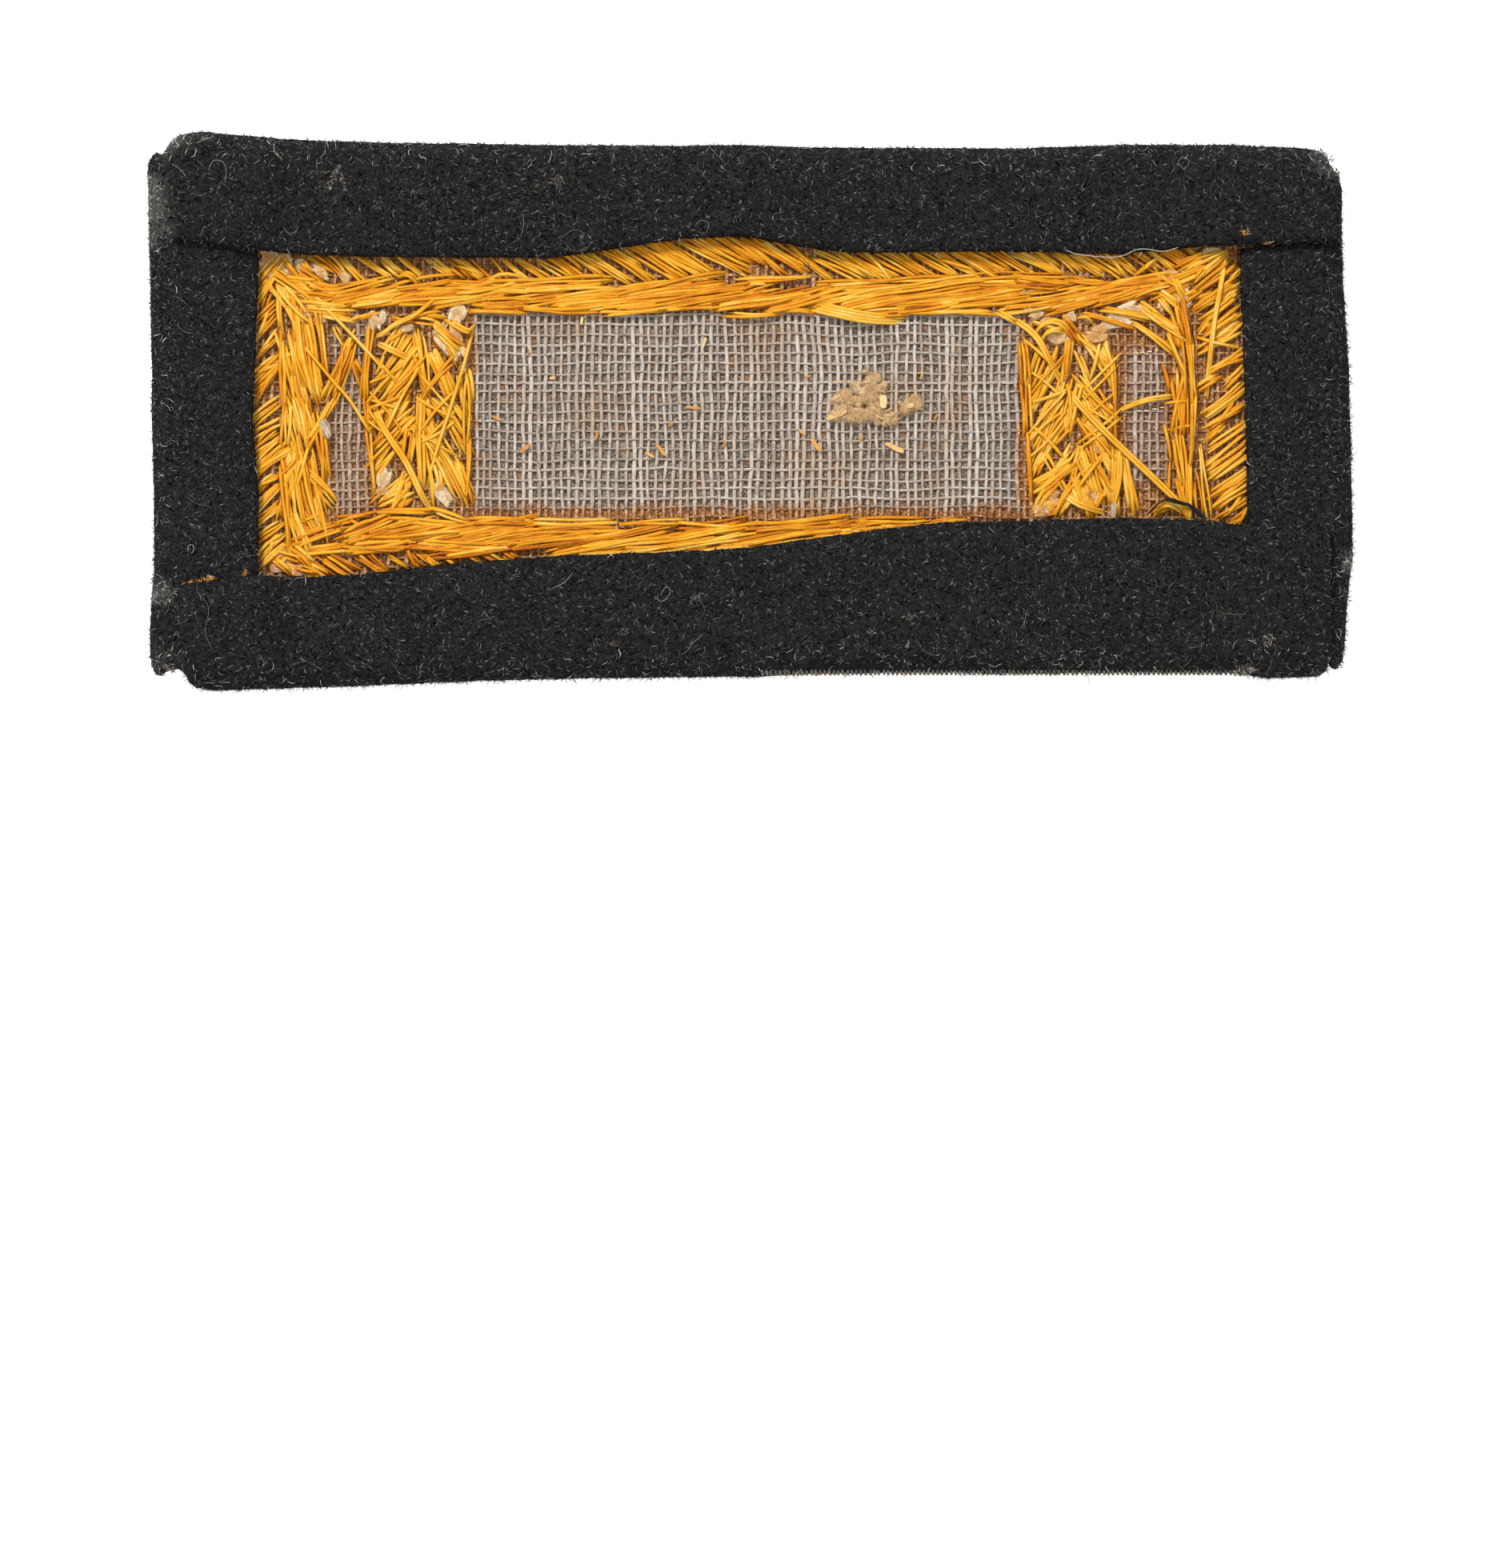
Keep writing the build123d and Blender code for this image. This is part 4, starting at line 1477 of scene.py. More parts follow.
# Strands that cross the corners on top of the rest
CORNER_STRANDS = rows_of(
    Bundle,
    (338, 344, 384, 372, 2), (350, 320, 374, 352, 2), (352, 348, 400, 350), (332, 352, 360, 388, 2),
    (362, 352, 404, 384), (350, 356, 386, 402), (366, 334, 410, 360, 2), (330, 330, 362, 350, 2),
    (376, 322, 392, 350, 2), (356, 366, 420, 372, 2), (372, 380, 440, 384, 2), (395, 384, 400, 430, 2),
    (1440, 340, 1482, 362, 2), (1460, 354, 1504, 334), (1466, 338, 1484, 374, 2),
    (1448, 364, 1480, 386), (1476, 334, 1512, 316), (1486, 356, 1516, 330), (1494, 366, 1540, 330),
    (1496, 384, 1546, 350), (1500, 404, 1548, 366), (1492, 350, 1530, 318), (1506, 420, 1550, 388),
    (1410, 372, 1470, 352), (1440, 392, 1476, 412, 2), (322, 372, 344, 340, 2), (326, 350, 352, 318),
    (440, 380, 500, 372), (404, 392, 440, 400, 2), (1490, 330, 1530, 312, 2), (1474, 376, 1498, 362),
    (1440, 372, 1490, 352, 2), (348, 690, 384, 702, 2), (342, 700, 364, 718, 2), (356, 680, 394, 708),
    (366, 706, 402, 716, 2), (338, 712, 360, 690, 2), (1296, 404, 1330, 412, 2),
    (1350, 392, 1420, 410, 2), (1380, 388, 1440, 398, 2), (1330, 396, 1352, 428),
    (440, 400, 470, 392, 2), (486, 396, 520, 404, 2), (520, 396, 552, 400), (544, 410, 580, 440),
    (556, 420, 572, 456, 2),
)

SILK_WIDTH = 0.4
SILK_SPACING = 0.335
BAR_CROSSINGS = 8
CROSSING_INSET = 3.5
CROSSING_SLANT = (1.5, 5.5)

# Levels that the strands lie at
OUTER_LEVEL = SILK_BOTTOM + 0.12
BAR_LEVEL = SILK_BOTTOM + 0.16
INNER_LEVEL = SILK_BOTTOM + 0.28
SPINE_LEVEL = SILK_BOTTOM + 0.42
CROSSING_LEVEL = SILK_BOTTOM + 0.46
FLAT_LEVEL = MESH_TOP + 0.14
LOOSE_LEVEL = SILK_TOP + 0.02
BURIED_LEVEL = MESH_TOP - 0.4

# How one strand waves along its run and dips into the cloth at its ends
STRAND_STEP = 1.1
STRAND_WAVE = 0.09
STRAND_WAVE_PITCH = 0.7
STRAND_RIPPLE = 0.03
DIP_DEPTH = 0.5
DIP_RUN = 0.9

# How far the strands of a bundle differ
BUNDLE_TONES = (-0.12, 0.12)
BUNDLE_BOW = 0.012
BUNDLE_PINCH = (0.5, 1.1)
STRAND_TONES = (-0.42, 0.38)
STRAND_LEVELS = (-0.14, 0.08)
STRAND_WIDTHS = (0.7, 1.15)
ASTRAY_CHANCE = 0.45
ASTRAY_REACH = (-0.9, 0.9)


def thread_path(chance, start, end, height, bow=0.0):
    """A strand between two places: it rises out of the cloth, runs at its height and dips in."""
    run = math.hypot(end[0] - start[0], end[1] - start[1])
    steps = max(6, int(run / STRAND_STEP))
    across = (-(end[1] - start[1]) / run, (end[0] - start[0]) / run)
    phase = chance.uniform(0, 9)
    path = []
    for number in range(steps + 1):
        share = number / steps
        near = min(share, 1 - share) * run
        wave = share * run * STRAND_WAVE_PITCH
        aside = bow * math.sin(math.pi * share) + STRAND_WAVE * math.sin(phase + wave)
        rise = mix(MESH_TOP - DIP_DEPTH, height, smooth(near / DIP_RUN))
        rise += STRAND_RIPPLE * math.sin(phase * 2 + wave)
        path.append((
            mix(start[0], end[0], share) + across[0] * aside,
            mix(start[1], end[1], share) + across[1] * aside,
            rise,
        ))
    return path


def curve_through(places, heights, step=0.7):
    """A smooth path through a few places, as a Catmull-Rom curve."""
    spots = [Vector((*place, height)) for place, height in zip(places, heights)]
    spots = [spots[0] * 2 - spots[1], *spots, spots[-1] * 2 - spots[-2]]
    path = []
    for a, b, c, d in zip(spots, spots[1:], spots[2:], spots[3:]):
        count = max(2, int((c - b).length / step))
        for number in range(count):
            t = number / count
            path.append(tuple(
                0.5 * (2 * b + (c - a) * t + (2 * a - 5 * b + 4 * c - d) * t * t
                       + (3 * b - a - 3 * c + d) * t ** 3)
            ))
    path.append(tuple(spots[-2]))
    return path


def lay_bundle(paths, bundle, height, tint=0.5, spare=(0, 0, 1), spacing=1.0, uneven=0.75):
    """The strands of one bundle, side by side, with their ends a little uneven."""
    chance = paths.chance
    start = seen(bundle.x0, bundle.y0)
    end = seen(bundle.x1, bundle.y1)
    run = math.hypot(end[0] - start[0], end[1] - start[1])
    way = ((end[0] - start[0]) / run, (end[1] - start[1]) / run)
    across = (-way[1], way[0])
    tone = tint + chance.uniform(*BUNDLE_TONES)
    bow = chance.gauss(0, BUNDLE_BOW) * run
    strands = max(bundle.strands + chance.choice(spare), 1)
    pinch = chance.uniform(*BUNDLE_PINCH), chance.uniform(*BUNDLE_PINCH)

    def moved(spot, aside, ahead):
        return tuple(spot[k] + across[k] * offset * aside + way[k] * ahead for k in (0, 1))

    def astray(spot):
        return spot[0] + chance.uniform(*ASTRAY_REACH), spot[1] + chance.uniform(*ASTRAY_REACH)

    for number in range(strands):
        offset = (number - (strands - 1) / 2) * SILK_SPACING * spacing + chance.uniform(-0.1, 0.1)
        first = chance.uniform(-uneven, 0.4 * uneven)
        last = chance.uniform(-0.4 * uneven, uneven)
        a = moved(start, pinch[0], first)
        b = moved(end, pinch[1], last)
        level = height + chance.uniform(*STRAND_LEVELS)
        width = SILK_WIDTH * chance.uniform(*STRAND_WIDTHS) * spacing
        path = thread_path(chance, a, b, level, bow + chance.uniform(-0.12, 0.12))
        paths.add(path, width, min(max(tone + chance.uniform(*STRAND_TONES), 0.0), 1.0))
    if chance.random() < ASTRAY_CHANCE and bundle.strands > 2:
        a = astray(start)
        b = astray(end)
        path = thread_path(chance, a, b, height + 0.12, chance.uniform(-0.3, 0.3))
        paths.add(path, SILK_WIDTH, chance.uniform(0.4, 0.95))


class STRAP_OT_silk(bpy.types.Operator):
    """Lay the yellow silk on the reverse of the border and the bars"""

    bl_idname = "strap.silk"
    bl_label = "Silk embroidery"

    def border(self):
        """The four sides of the border; each layer is its bundles, level and tint."""
        low, middle, high = OUTER_LEVEL, INNER_LEVEL, SPINE_LEVEL
        sides = (
            ("upper", 51, ((TOP_OUTER, low, 0.76), (TOP_INNER, middle, 0.52))),
            ("left", 52, ((LEFT_OUTER, low, 0.74), (LEFT_INNER, middle, 0.68), (LEFT_SPINE, high, 0.7))),
            ("right", 53, ((RIGHT_OUTER, low, 0.74), (RIGHT_INNER, middle, 0.56), (RIGHT_SPINE, high, 0.7))),
            ("lower", 54, ((BOTTOM_OUTER, low, 0.3), (BOTTOM_INNER, middle, 0.5))),
        )
        for side, seed, layers in sides:
            paths = Paths(seed)
            for bundles, height, tint in layers:
                outer = height == low
                for number, bundle in enumerate(bundles):
                    lay_bundle(
                        paths, bundle, height + 0.04 * (number % 3), tint,
                        spare=(-1, 0, 0) if outer else (0, 0, 1), spacing=0.92 if outer else 0.95,
                        uneven=0.5 if outer else 1.2,
                    )
            piece = paths.grow(f"border_silk_{side}", "yellow_silk_floss")
            finish_piece(piece, "yellow_silk", "border_stitching")

    def bars(self):
        for number, bundles in enumerate((BAR_A, BAR_B, BAR_C, BAR_D), start=1):
            paths = Paths(60 + number)
            for order, bundle in enumerate(bundles):
                lay_bundle(paths, bundle, BAR_LEVEL + 0.05 * (order % 3), 0.98)
            self.crossings(paths, *node_box(f"bar_stitching_{number}"))
            piece = paths.grow(f"bar_silk_{number}", "yellow_silk_floss")
            finish_piece(piece, "yellow_silk", f"bar_stitching_{number}")

    def crossings(self, paths, low, high):
        """Single strands that slant over one bar from edge to edge."""
        chance = paths.chance
        for crossing in range(BAR_CROSSINGS):
            slant = chance.choice((-1, 1)) * chance.uniform(*CROSSING_SLANT)
            share = (crossing + chance.random()) / BAR_CROSSINGS
            middle = mix(low.y + CROSSING_INSET, high.y - CROSSING_INSET, share)
            start = (low.x + chance.uniform(0, 0.6), middle - slant / 2)
            end = (high.x - chance.uniform(0, 0.6), middle + slant / 2)
            path = thread_path(chance, start, end, CROSSING_LEVEL, chance.uniform(-0.2, 0.2))
            paths.add(path, SILK_WIDTH * chance.uniform(0.7, 0.95), chance.uniform(0.6, 1.0))

    def flat(self):
        paths = Paths(69)
        for ribbon in FLAT_SILK:
            start = seen(ribbon.x0, ribbon.y0)
            end = seen(ribbon.x1, ribbon.y1)
            level = FLAT_LEVEL + paths.chance.uniform(0.0, 0.08)
            path = thread_path(paths.chance, start, end, level)
            paths.add(path, ribbon.strands * SILK_SPACING, paths.chance.uniform(0.05, 0.4), 0.12, 0.4)
        finish_piece(paths.grow("flat_stained_silk", "stained_flat_silk", 0.07, 10), "yellow_silk")

    def running(self):
        paths = Paths(70)
        for bundle in RUNNING + BAR_EDGES + CORNER_STRANDS:
            lay_bundle(paths, bundle, SPINE_LEVEL, 0.66)
        for loose in LOOSE_STRANDS:
            for strand in range(loose.strands):
                shift = (strand - (loose.strands - 1) / 2) * SILK_SPACING
                seen_places = (seen(*place) for place in loose.places)
                places = [(x + shift * 0.6, y + shift * 0.8) for x, y in seen_places]
                heights = [BURIED_LEVEL, *[LOOSE_LEVEL] * (len(places) - 2), BURIED_LEVEL]
                # Loose strands are made paler: painted highlights where they lie raised over the rest.
                tone = paths.chance.uniform(0.75, 1.0)
                paths.add(curve_through(places, heights), SILK_WIDTH * 0.95, tone)
        finish_piece(paths.grow("loose_silk_strands", "yellow_silk_floss"), "yellow_silk")

    def execute(self, context):
        self.border()
        self.bars()
        self.flat()
        self.running()
        return {"FINISHED"}


# Tufts and dirt

Blob = namedtuple("Blob", "photo_x photo_y long short turn tint")
COTTON_TUFTS = {
    "padding_upper_1": rows_of(
        Blob,
        (466, 398, 1.2, 0.6, 100, 0.6), (478, 397, 0.85, 0.45, 80, 0.95),
        (507, 410, 0.75, 0.45, 0, 0.7),
    ),
    "padding_upper_2": rows_of(
        Blob,
        (573, 391, 1.3, 0.9, 60, 0.5), (563, 430, 1.9, 1.3, 110, 0.2), (549, 412, 1.0, 0.5, 60, 0.2),
    ),
    "padding_upper_3": rows_of(
        Blob,
        (1322, 420, 1.2, 0.9, 30, 0.5), (1296, 393, 0.8, 0.5, 30, 0.4), (1338, 396, 0.8, 0.6, 10, 0.5),
        (1310, 404, 1.0, 0.6, 30, 0.2),
    ),
    "padding_upper_4": rows_of(
        Blob,
        (1400, 397, 2.6, 0.95, 28, 0.8), (1374, 412, 1.0, 0.6, 10, 0.2), (1422, 388, 1.1, 0.6, 30, 0.6),
    ),
    "padding_lower_1": rows_of(
        Blob,
        (480, 598, 1.1, 0.75, 70, 0.55), (478, 614, 0.8, 0.5, 20, 0.2),
    ),
    "padding_lower_2": rows_of(
        Blob,
        (553, 620, 1.15, 0.8, 125, 0.8), (548, 606, 0.6, 0.5, 60, 0.3),
    ),
    "padding_lower_3": rows_of(
        Blob,
        (1304, 634, 0.9, 0.7, 0, 0.45), (1318, 618, 0.7, 0.45, 40, 0.1),
    ),
    "padding_lower_4": rows_of(
        Blob,
        (1373, 560, 1.0, 0.55, 10, 0.3), (1366, 618, 0.9, 0.7, 80, 0.0),
    ),
}
CORNER_TUFTS = rows_of(
    Blob,
    (343, 333, 1.7, 1.4, 20, 0.3), (352, 324, 1.3, 0.9, 0, 0.4), (378, 332, 1.2, 0.7, 130, 0.4),
    (400, 340, 1.1, 0.55, 150, 0.3), (364, 350, 1.3, 0.8, 140, 0.0), (430, 346, 0.9, 0.45, 130, 0.3),
    (372, 366, 1.5, 0.8, 150, -0.1), (384, 386, 1.2, 0.8, 100, 0.1), (335, 322, 0.9, 0.7, 0, 0.1),
    (1508, 320, 2.0, 0.8, 15, 0.35), (1490, 332, 1.2, 0.7, 20, 0.2), (1482, 372, 1.2, 0.7, 110, 0.5),
    (1455, 378, 1.0, 0.6, 40, 0.2), (1470, 350, 1.5, 1.0, 0, -0.1), (400, 400, 0.9, 0.5, 20, 0.5),
    (1300, 640, 0.8, 0.5, 0, 0.1), (1372, 420, 1.4, 0.7, 10, 0.0),
)
RESIN_LUMPS = rows_of(
    Blob,
    (350, 706, 1.0, 0.7, 30, -0.7), (368, 712, 1.2, 0.6, 160, -0.6), (384, 700, 0.9, 0.5, 30, -0.9),
    (352, 690, 0.8, 0.6, 60, -0.8), (372, 660, 0.9, 0.5, 70, -0.7), (388, 640, 0.8, 0.5, 100, -0.9),
    (398, 654, 1.0, 0.5, 60, -0.7), (1316, 628, 0.8, 0.5, 30, -0.5), (1354, 626, 1.2, 0.5, 10, -0.6),
)
RESIDUE_BLOBS = rows_of(
    Blob,
    (1082, 497, 2.6, 1.9, 10, 0.5), (1060, 498, 1.8, 1.0, 20, 0.4), (1090, 480, 1.6, 1.1, -60, 0.5),
    (1052, 515, 1.3, 0.5, 25, 0.6), (1100, 518, 1.8, 0.9, -20, 0.4), (1138, 506, 1.1, 0.9, 0, 0.3),
    (1072, 519, 1.5, 0.6, 0, 0.5),
)

CRUMBS_PER_BLOB = 22
WISPS_PER_TUFT = 9
TUFT_HEIGHT = 0.2
RESIN_HEIGHT = 0.16
RESIDUE_HEIGHT = 0.32
LUMP_SWELL = 0.3
FINE_SWELL = 0.1


def beside(blob, along, across):
    """The pixel of the photograph that lies so many millimetres along a blob and across it."""
    turn = math.radians(blob.turn)
    return turned_place(blob.photo_x, blob.photo_y, along * PHOTO_SCALE, -across * PHOTO_SCALE, -turn)


def crumbled(blobs, seed):
    """Each lump broken into small crumbs that are strewn over its place."""
    chance = random.Random(seed)
    crumbs = []
    for blob in blobs:
        for _ in range(CRUMBS_PER_BLOB):
            reach = chance.random() ** 0.6
            way = chance.uniform(0, math.tau)
            along = reach * blob.long * math.cos(way)
            across = reach * blob.short * math.sin(way)
            size = chance.uniform(0.3, 0.75) * (1.1 - 0.5 * reach)
            crumbs.append(Blob(
                *beside(blob, along, across), size, size * chance.uniform(0.5, 0.9),
                chance.uniform(0, 180), blob.tint + chance.uniform(-0.3, 0.3),
            ))
    return crumbs


def wispy(blobs, seed):
    """Each tuft as long wisps that lie over one another along it."""
    chance = random.Random(seed)
    wisps = []
    for blob in blobs:
        wisps.append(blob._replace(long=blob.long * 0.8, short=blob.short * 0.8))
        for _ in range(WISPS_PER_TUFT):
            along = chance.uniform(-0.5, 0.5) * blob.long
            across = chance.uniform(-0.75, 0.75) * blob.short
            wisps.append(Blob(
                *beside(blob, along, across),
                blob.long * chance.uniform(0.4, 0.7), blob.short * chance.uniform(0.22, 0.42),
                blob.turn + chance.gauss(0, 12), blob.tint + chance.uniform(-0.2, 0.3),
            ))
    return wisps


def ball_points(rings=10, steps=16):
    """A closed ball of quads with a triangle fan at each pole."""
    points = [(0.0, 0.0, 1.0)]
    for ring in range(1, rings):
        polar = math.pi * ring / rings
        for step in range(steps):
            turn = 2 * math.pi * step / steps
            reach = math.sin(polar)
            points.append((reach * math.cos(turn), reach * math.sin(turn), math.cos(polar)))
    points.append((0.0, 0.0, -1.0))
    faces = []
    last = len(points) - 1
    for step in range(steps):
        after = (step + 1) % steps
        faces.append((0, 1 + step, 1 + after))
        for ring in range(rings - 2):
            a = 1 + ring * steps
            faces.append((a + step, a + steps + step, a + steps + after, a + after))
        a = 1 + (rings - 2) * steps
        faces.append((a + step, last, a + after))
    return points, faces


def blobs_piece(name, blobs, material, base, height, seed, rings=10, steps=16):
    """Lumps of fluff that sit on the cloth, as one mesh with a tint for each lump."""
    ball, ball_faces = ball_points(rings, steps)
    points = []
    faces = []
    tints = []
    cover = []
    wear = []
    for number, blob in enumerate(blobs):
        x, y = seen(blob.photo_x, blob.photo_y)
        turn = math.radians(blob.turn)
        first = len(points)
        for a, b, c in ball:
            swell = 1 + LUMP_SWELL * wander(a * 1.3 + number * 7, b * 1.3 + seed, c * 1.3)
            swell += FINE_SWELL * wander(a * 3 + number * 3, b * 3, c * 3 + seed)
            along, across = a * blob.long * swell, b * blob.short * swell
            level = base + height * (0.35 + 0.65 * c * swell)
            points.append((*turned_place(x, y, along, across, turn), level))
            # Painted shade: each lump's tint falls toward its lower side and flanks, which also turns the
            # cotton orange at its rim.
            tints.append(blob.tint - 0.25 * (1 - max(c, 0.0)) ** 3)
            wear.append(blob.tint * 0.7 - 0.35)
            cover.append(1.0 if c > -0.2 else 0.0)
        faces += [tuple(first + corner for corner in face) for face in ball_faces]
    return mesh_piece(name, points, faces, material, tint=tints, cover=cover, wear=wear)


class STRAP_OT_padding(bpy.types.Operator):
    """Set the cotton tufts at the ends of the bars and in the corners"""

    bl_idname = "strap.padding"
    bl_label = "Cotton padding"

    def tuft(self, name, blobs, wisp_seed, shape_seed, *nodes):
        """One or more tufts of wisps, as one piece."""
        piece = blobs_piece(name, wispy(blobs, wisp_seed), "raw_cotton_fluff", SILK_BOTTOM,
                            TUFT_HEIGHT, shape_seed, rings=6, steps=8)
        return finish_piece(piece, "raw_cotton", *nodes)

    def fluff(self, name, tuft, density, seed):
        """Long loose fibres over a tuft."""
        fibres = grow_fibres(name, tuft, "cover", density, seed, (0.6, 1.5), lean=0.35, upright=1.4,
                             material="pale_fibre", kind="long")
        finish_piece(fibres, "raw_cotton")

    def execute(self, context):
        for number, (node, blobs) in enumerate(COTTON_TUFTS.items()):
            tuft = self.tuft(node + "_cotton", blobs, 180 + number, number, node)
            self.fluff(node + "_fibres", tuft, 22, 80 + number)
        corners = self.tuft("corner_cotton", CORNER_TUFTS, 190, 90)
        lumps = blobs_piece("resin_lumps", RESIN_LUMPS, "raw_cotton_fluff", SILK_BOTTOM,
                            RESIN_HEIGHT, seed=92)
        finish_piece(lumps, "dried_paste")
        self.fluff("corner_fibres", corners, 18, 91)
        return {"FINISHED"}


Chip = namedtuple("Chip", "photo_x photo_y long wide turn tint")
STRAW_CHIPS = rows_of(
    Chip,
    (1044, 518, 2.2, 0.5, 25, 0.6), (1020, 556, 1.6, 0.5, -50, 0.4), (1118, 559, 2.1, 0.55, -25, 0.7),
    (1104, 503, 1.2, 0.8, 80, 1.0), (1142, 504, 1.0, 0.5, 60, 0.9), (866, 509, 1.5, 0.35, -5, 0.3),
    (880, 428, 1.2, 0.28, 75, 0.9), (727, 400, 0.9, 0.3, 85, 1.0), (620, 522, 1.1, 0.3, -20, 0.3),
    (656, 560, 1.4, 0.4, 40, 0.3), (826, 562, 1.5, 0.4, -50, 0.4), (812, 568, 1.0, 0.35, -30, 0.5),
    (690, 472, 0.6, 0.3, 10, 0.8), (838, 530, 0.7, 0.25, 40, 0.2), (1076, 548, 0.8, 0.3, 60, 0.3),
    (1002, 540, 0.8, 0.25, -40, 0.4), (1152, 470, 0.7, 0.22, 70, 0.3), (905, 555, 0.8, 0.25, 60, 0.2),
    (745, 545, 0.9, 0.3, 70, 0.3), (1010, 470, 0.7, 0.2, 15, 0.3), (1170, 520, 0.6, 0.2, 60, 0.2),
    (660, 440, 0.7, 0.2, 80, 0.2), (1556, 291, 0.7, 0.3, 40, 0.9), (1583, 304, 0.5, 0.3, 0, 0.9),
)
RESIDUE_CHIPS = rows_of(
    Chip,
    (1046, 518, 2.2, 0.6, 25, 0.75), (1104, 502, 1.3, 0.8, 95, 1.0), (1137, 507, 0.8, 0.5, 20, 0.9),
    (1097, 520, 1.3, 0.12, -30, 0.8), (1110, 512, 0.9, 0.12, 30, 0.8), (1080, 478, 0.9, 0.12, 10, 0.5),
    (1152, 468, 0.9, 0.2, 85, 0.6), (1048, 476, 1.2, 0.1, 3, 0.5),
)
DULL_CHIPS = rows_of(
    Chip,
    (407, 536, 2.0, 1.0, 110, 0.62), (1392, 638, 1.6, 0.6, 90, 0.62),
)
# Pale slivers that stand in for glints of light on the wax: painted highlights.
WAX_GLINTS = rows_of(
    Chip,
    (1420, 441, 0.45, 0.12, 5, 1.3), (1428, 440, 0.4, 0.12, 5, 1.3), (1437, 439, 0.5, 0.12, 8, 1.3),
    (1446, 437, 0.4, 0.1, 8, 1.3), (1424, 513, 0.4, 0.12, -5, 1.3), (1433, 513, 0.5, 0.14, 0, 1.3),
    (1443, 511, 0.4, 0.12, 5, 1.3), (1453, 509, 0.4, 0.1, 8, 1.3), (1462, 488, 0.6, 0.12, 30, 1.3),
)

# Outline of a chip, as shares of half its length and half its width
CHIP_OUTLINE = (
    (-1, 0.3), (-0.9, -0.6), (-0.3, -0.8), (0.3, -1), (0.95, -0.7), (1, 0.2), (0.75, 0.9), (0, 0.8),
    (-0.6, 1),
)
CHIP_THICKNESS = 0.1
CHIP_SLANT = 0.06
CHIP_LIFT = 0.05
RESIDUE_CHIP_LIFT = 0.4


def chip_piece(name, chips, material, base):
    """Flat slivers with pointed ends, as one mesh."""
    points = []
    faces = []
    tints = []
    for chip in chips:
        x, y = seen(chip.photo_x, chip.photo_y)
        turn = math.radians(chip.turn)
        first = len(points)
        for level in (0.0, CHIP_THICKNESS):
            for along, across in CHIP_OUTLINE:
                a, b = along * chip.long / 2, across * chip.wide / 2
                points.append((*turned_place(x, y, a, b, turn), base + level + CHIP_SLANT * along))
                tints.append(chip.tint)
        count = len(CHIP_OUTLINE)
        faces.append(tuple(first + count + k for k in range(count)))
        faces.append(tuple(first + k for k in reversed(range(count))))
        for k in range(count):
            after = (k + 1) % count
            faces.append((first + k, first + after, first + count + after, first + count + k))
    return mesh_piece(name, points, faces, material, smooth_faces=False, tint=tints)


class STRAP_OT_residue(bpy.types.Operator):
    """Lay the dried fluff, straw and grey chips on the backing"""

    bl_idname = "strap.residue"
    bl_label = "Residue"

    def execute(self, context):
        crumbs = crumbled(RESIDUE_BLOBS, seed=17)
        lump = blobs_piece("residue_fluff", crumbs, "dried_paste_fluff", MESH_TOP, RESIDUE_HEIGHT, seed=7,
                           rings=6, steps=10)
        finish_piece(lump, "dried_paste", "residue_flake")
        fluff = grow_fibres("residue_fibres", lump, "cover", density=20, seed=95, lengths=(0.7, 1.9),
                            lean=0.7, upright=1.3, material="residue_fibre", kind="long")
        finish_piece(fluff, "dried_paste")
        slivers = (
            ("straw_chips", STRAW_CHIPS, CHIP_LIFT),
            ("residue_chips", RESIDUE_CHIPS, RESIDUE_CHIP_LIFT),
            ("wax_glints", WAX_GLINTS, CHIP_LIFT),
        )
        for name, chips, lift in slivers:
            finish_piece(chip_piece(name, chips, "straw_sliver", MESH_TOP + lift), "dried_paste")
        finish_piece(chip_piece("dull_chips", DULL_CHIPS, "dull_chip", SILK_TOP), "raw_cotton")
        return {"FINISHED"}


# Hairs lie at their height above whatever is under them
Hair = namedtuple("Hair", "height width tint places")
HAIRS = rows_of(
    Hair,
    (0.7, 0.07, 0.9, ((1331, 313), (1349, 319), (1395, 322), (1424, 312), (1453, 315), (1472, 310))),
    (1.7, 0.3, 0.1,
     ((1436, 642), (1446, 631), (1457, 624), (1470, 627), (1484, 631), (1496, 639), (1506, 650))),
    (0.15, 0.06, 0.7, ((349, 172), (343, 182), (345, 193), (354, 200))),
    (0.15, 0.06, 0.6, ((282, 162), (266, 172), (246, 180))),
    (0.15, 0.06, 0.6, ((216, 206), (228, 214), (234, 224))),
    (0.15, 0.06, 0.55, ((262, 214), (268, 202), (280, 204), (284, 216), (282, 230))),
    (0.15, 0.08, 0.8, ((186, 422), (193, 420), (201, 418))),
    (0.15, 0.06, 0.5, ((1478, 210), (1472, 204), (1478, 197), (1486, 202), (1482, 212))),
    (0.15, 0.06, 0.6, ((818, 746), (826, 752), (834, 748), (838, 738), (832, 734), (826, 744))),
    (0.15, 0.06, 0.6, ((690, 736), (706, 728), (716, 716))),
    (0.15, 0.05, 0.4, ((700, 300), (716, 288), (730, 292), (726, 306))),
    (0.15, 0.05, 0.5, ((868, 284), (876, 276), (886, 280), (882, 292), (872, 290))),
    (0.15, 0.05, 0.4, ((248, 740), (262, 760), (258, 790), (266, 812))),
    (0.15, 0.08, 0.4, ((654, 268), (655, 282), (651, 296))),
    (0.1, 0.12, 0.25, ((1010, 328), (1014, 340), (1012, 352), (1017, 366))),
    (0.1, 0.1, 0.3, ((1008, 346), (1013, 350), (1018, 344))),
    (0.1, 0.1, 0.3, ((1012, 334), (1015, 348), (1010, 360))),
    (0.1, 0.08, 0.6, ((236, 690), (236, 683), (241, 681), (243, 687), (240, 692))),
)
Lint = namedtuple("Lint", "photo_x photo_y long short turn shade")
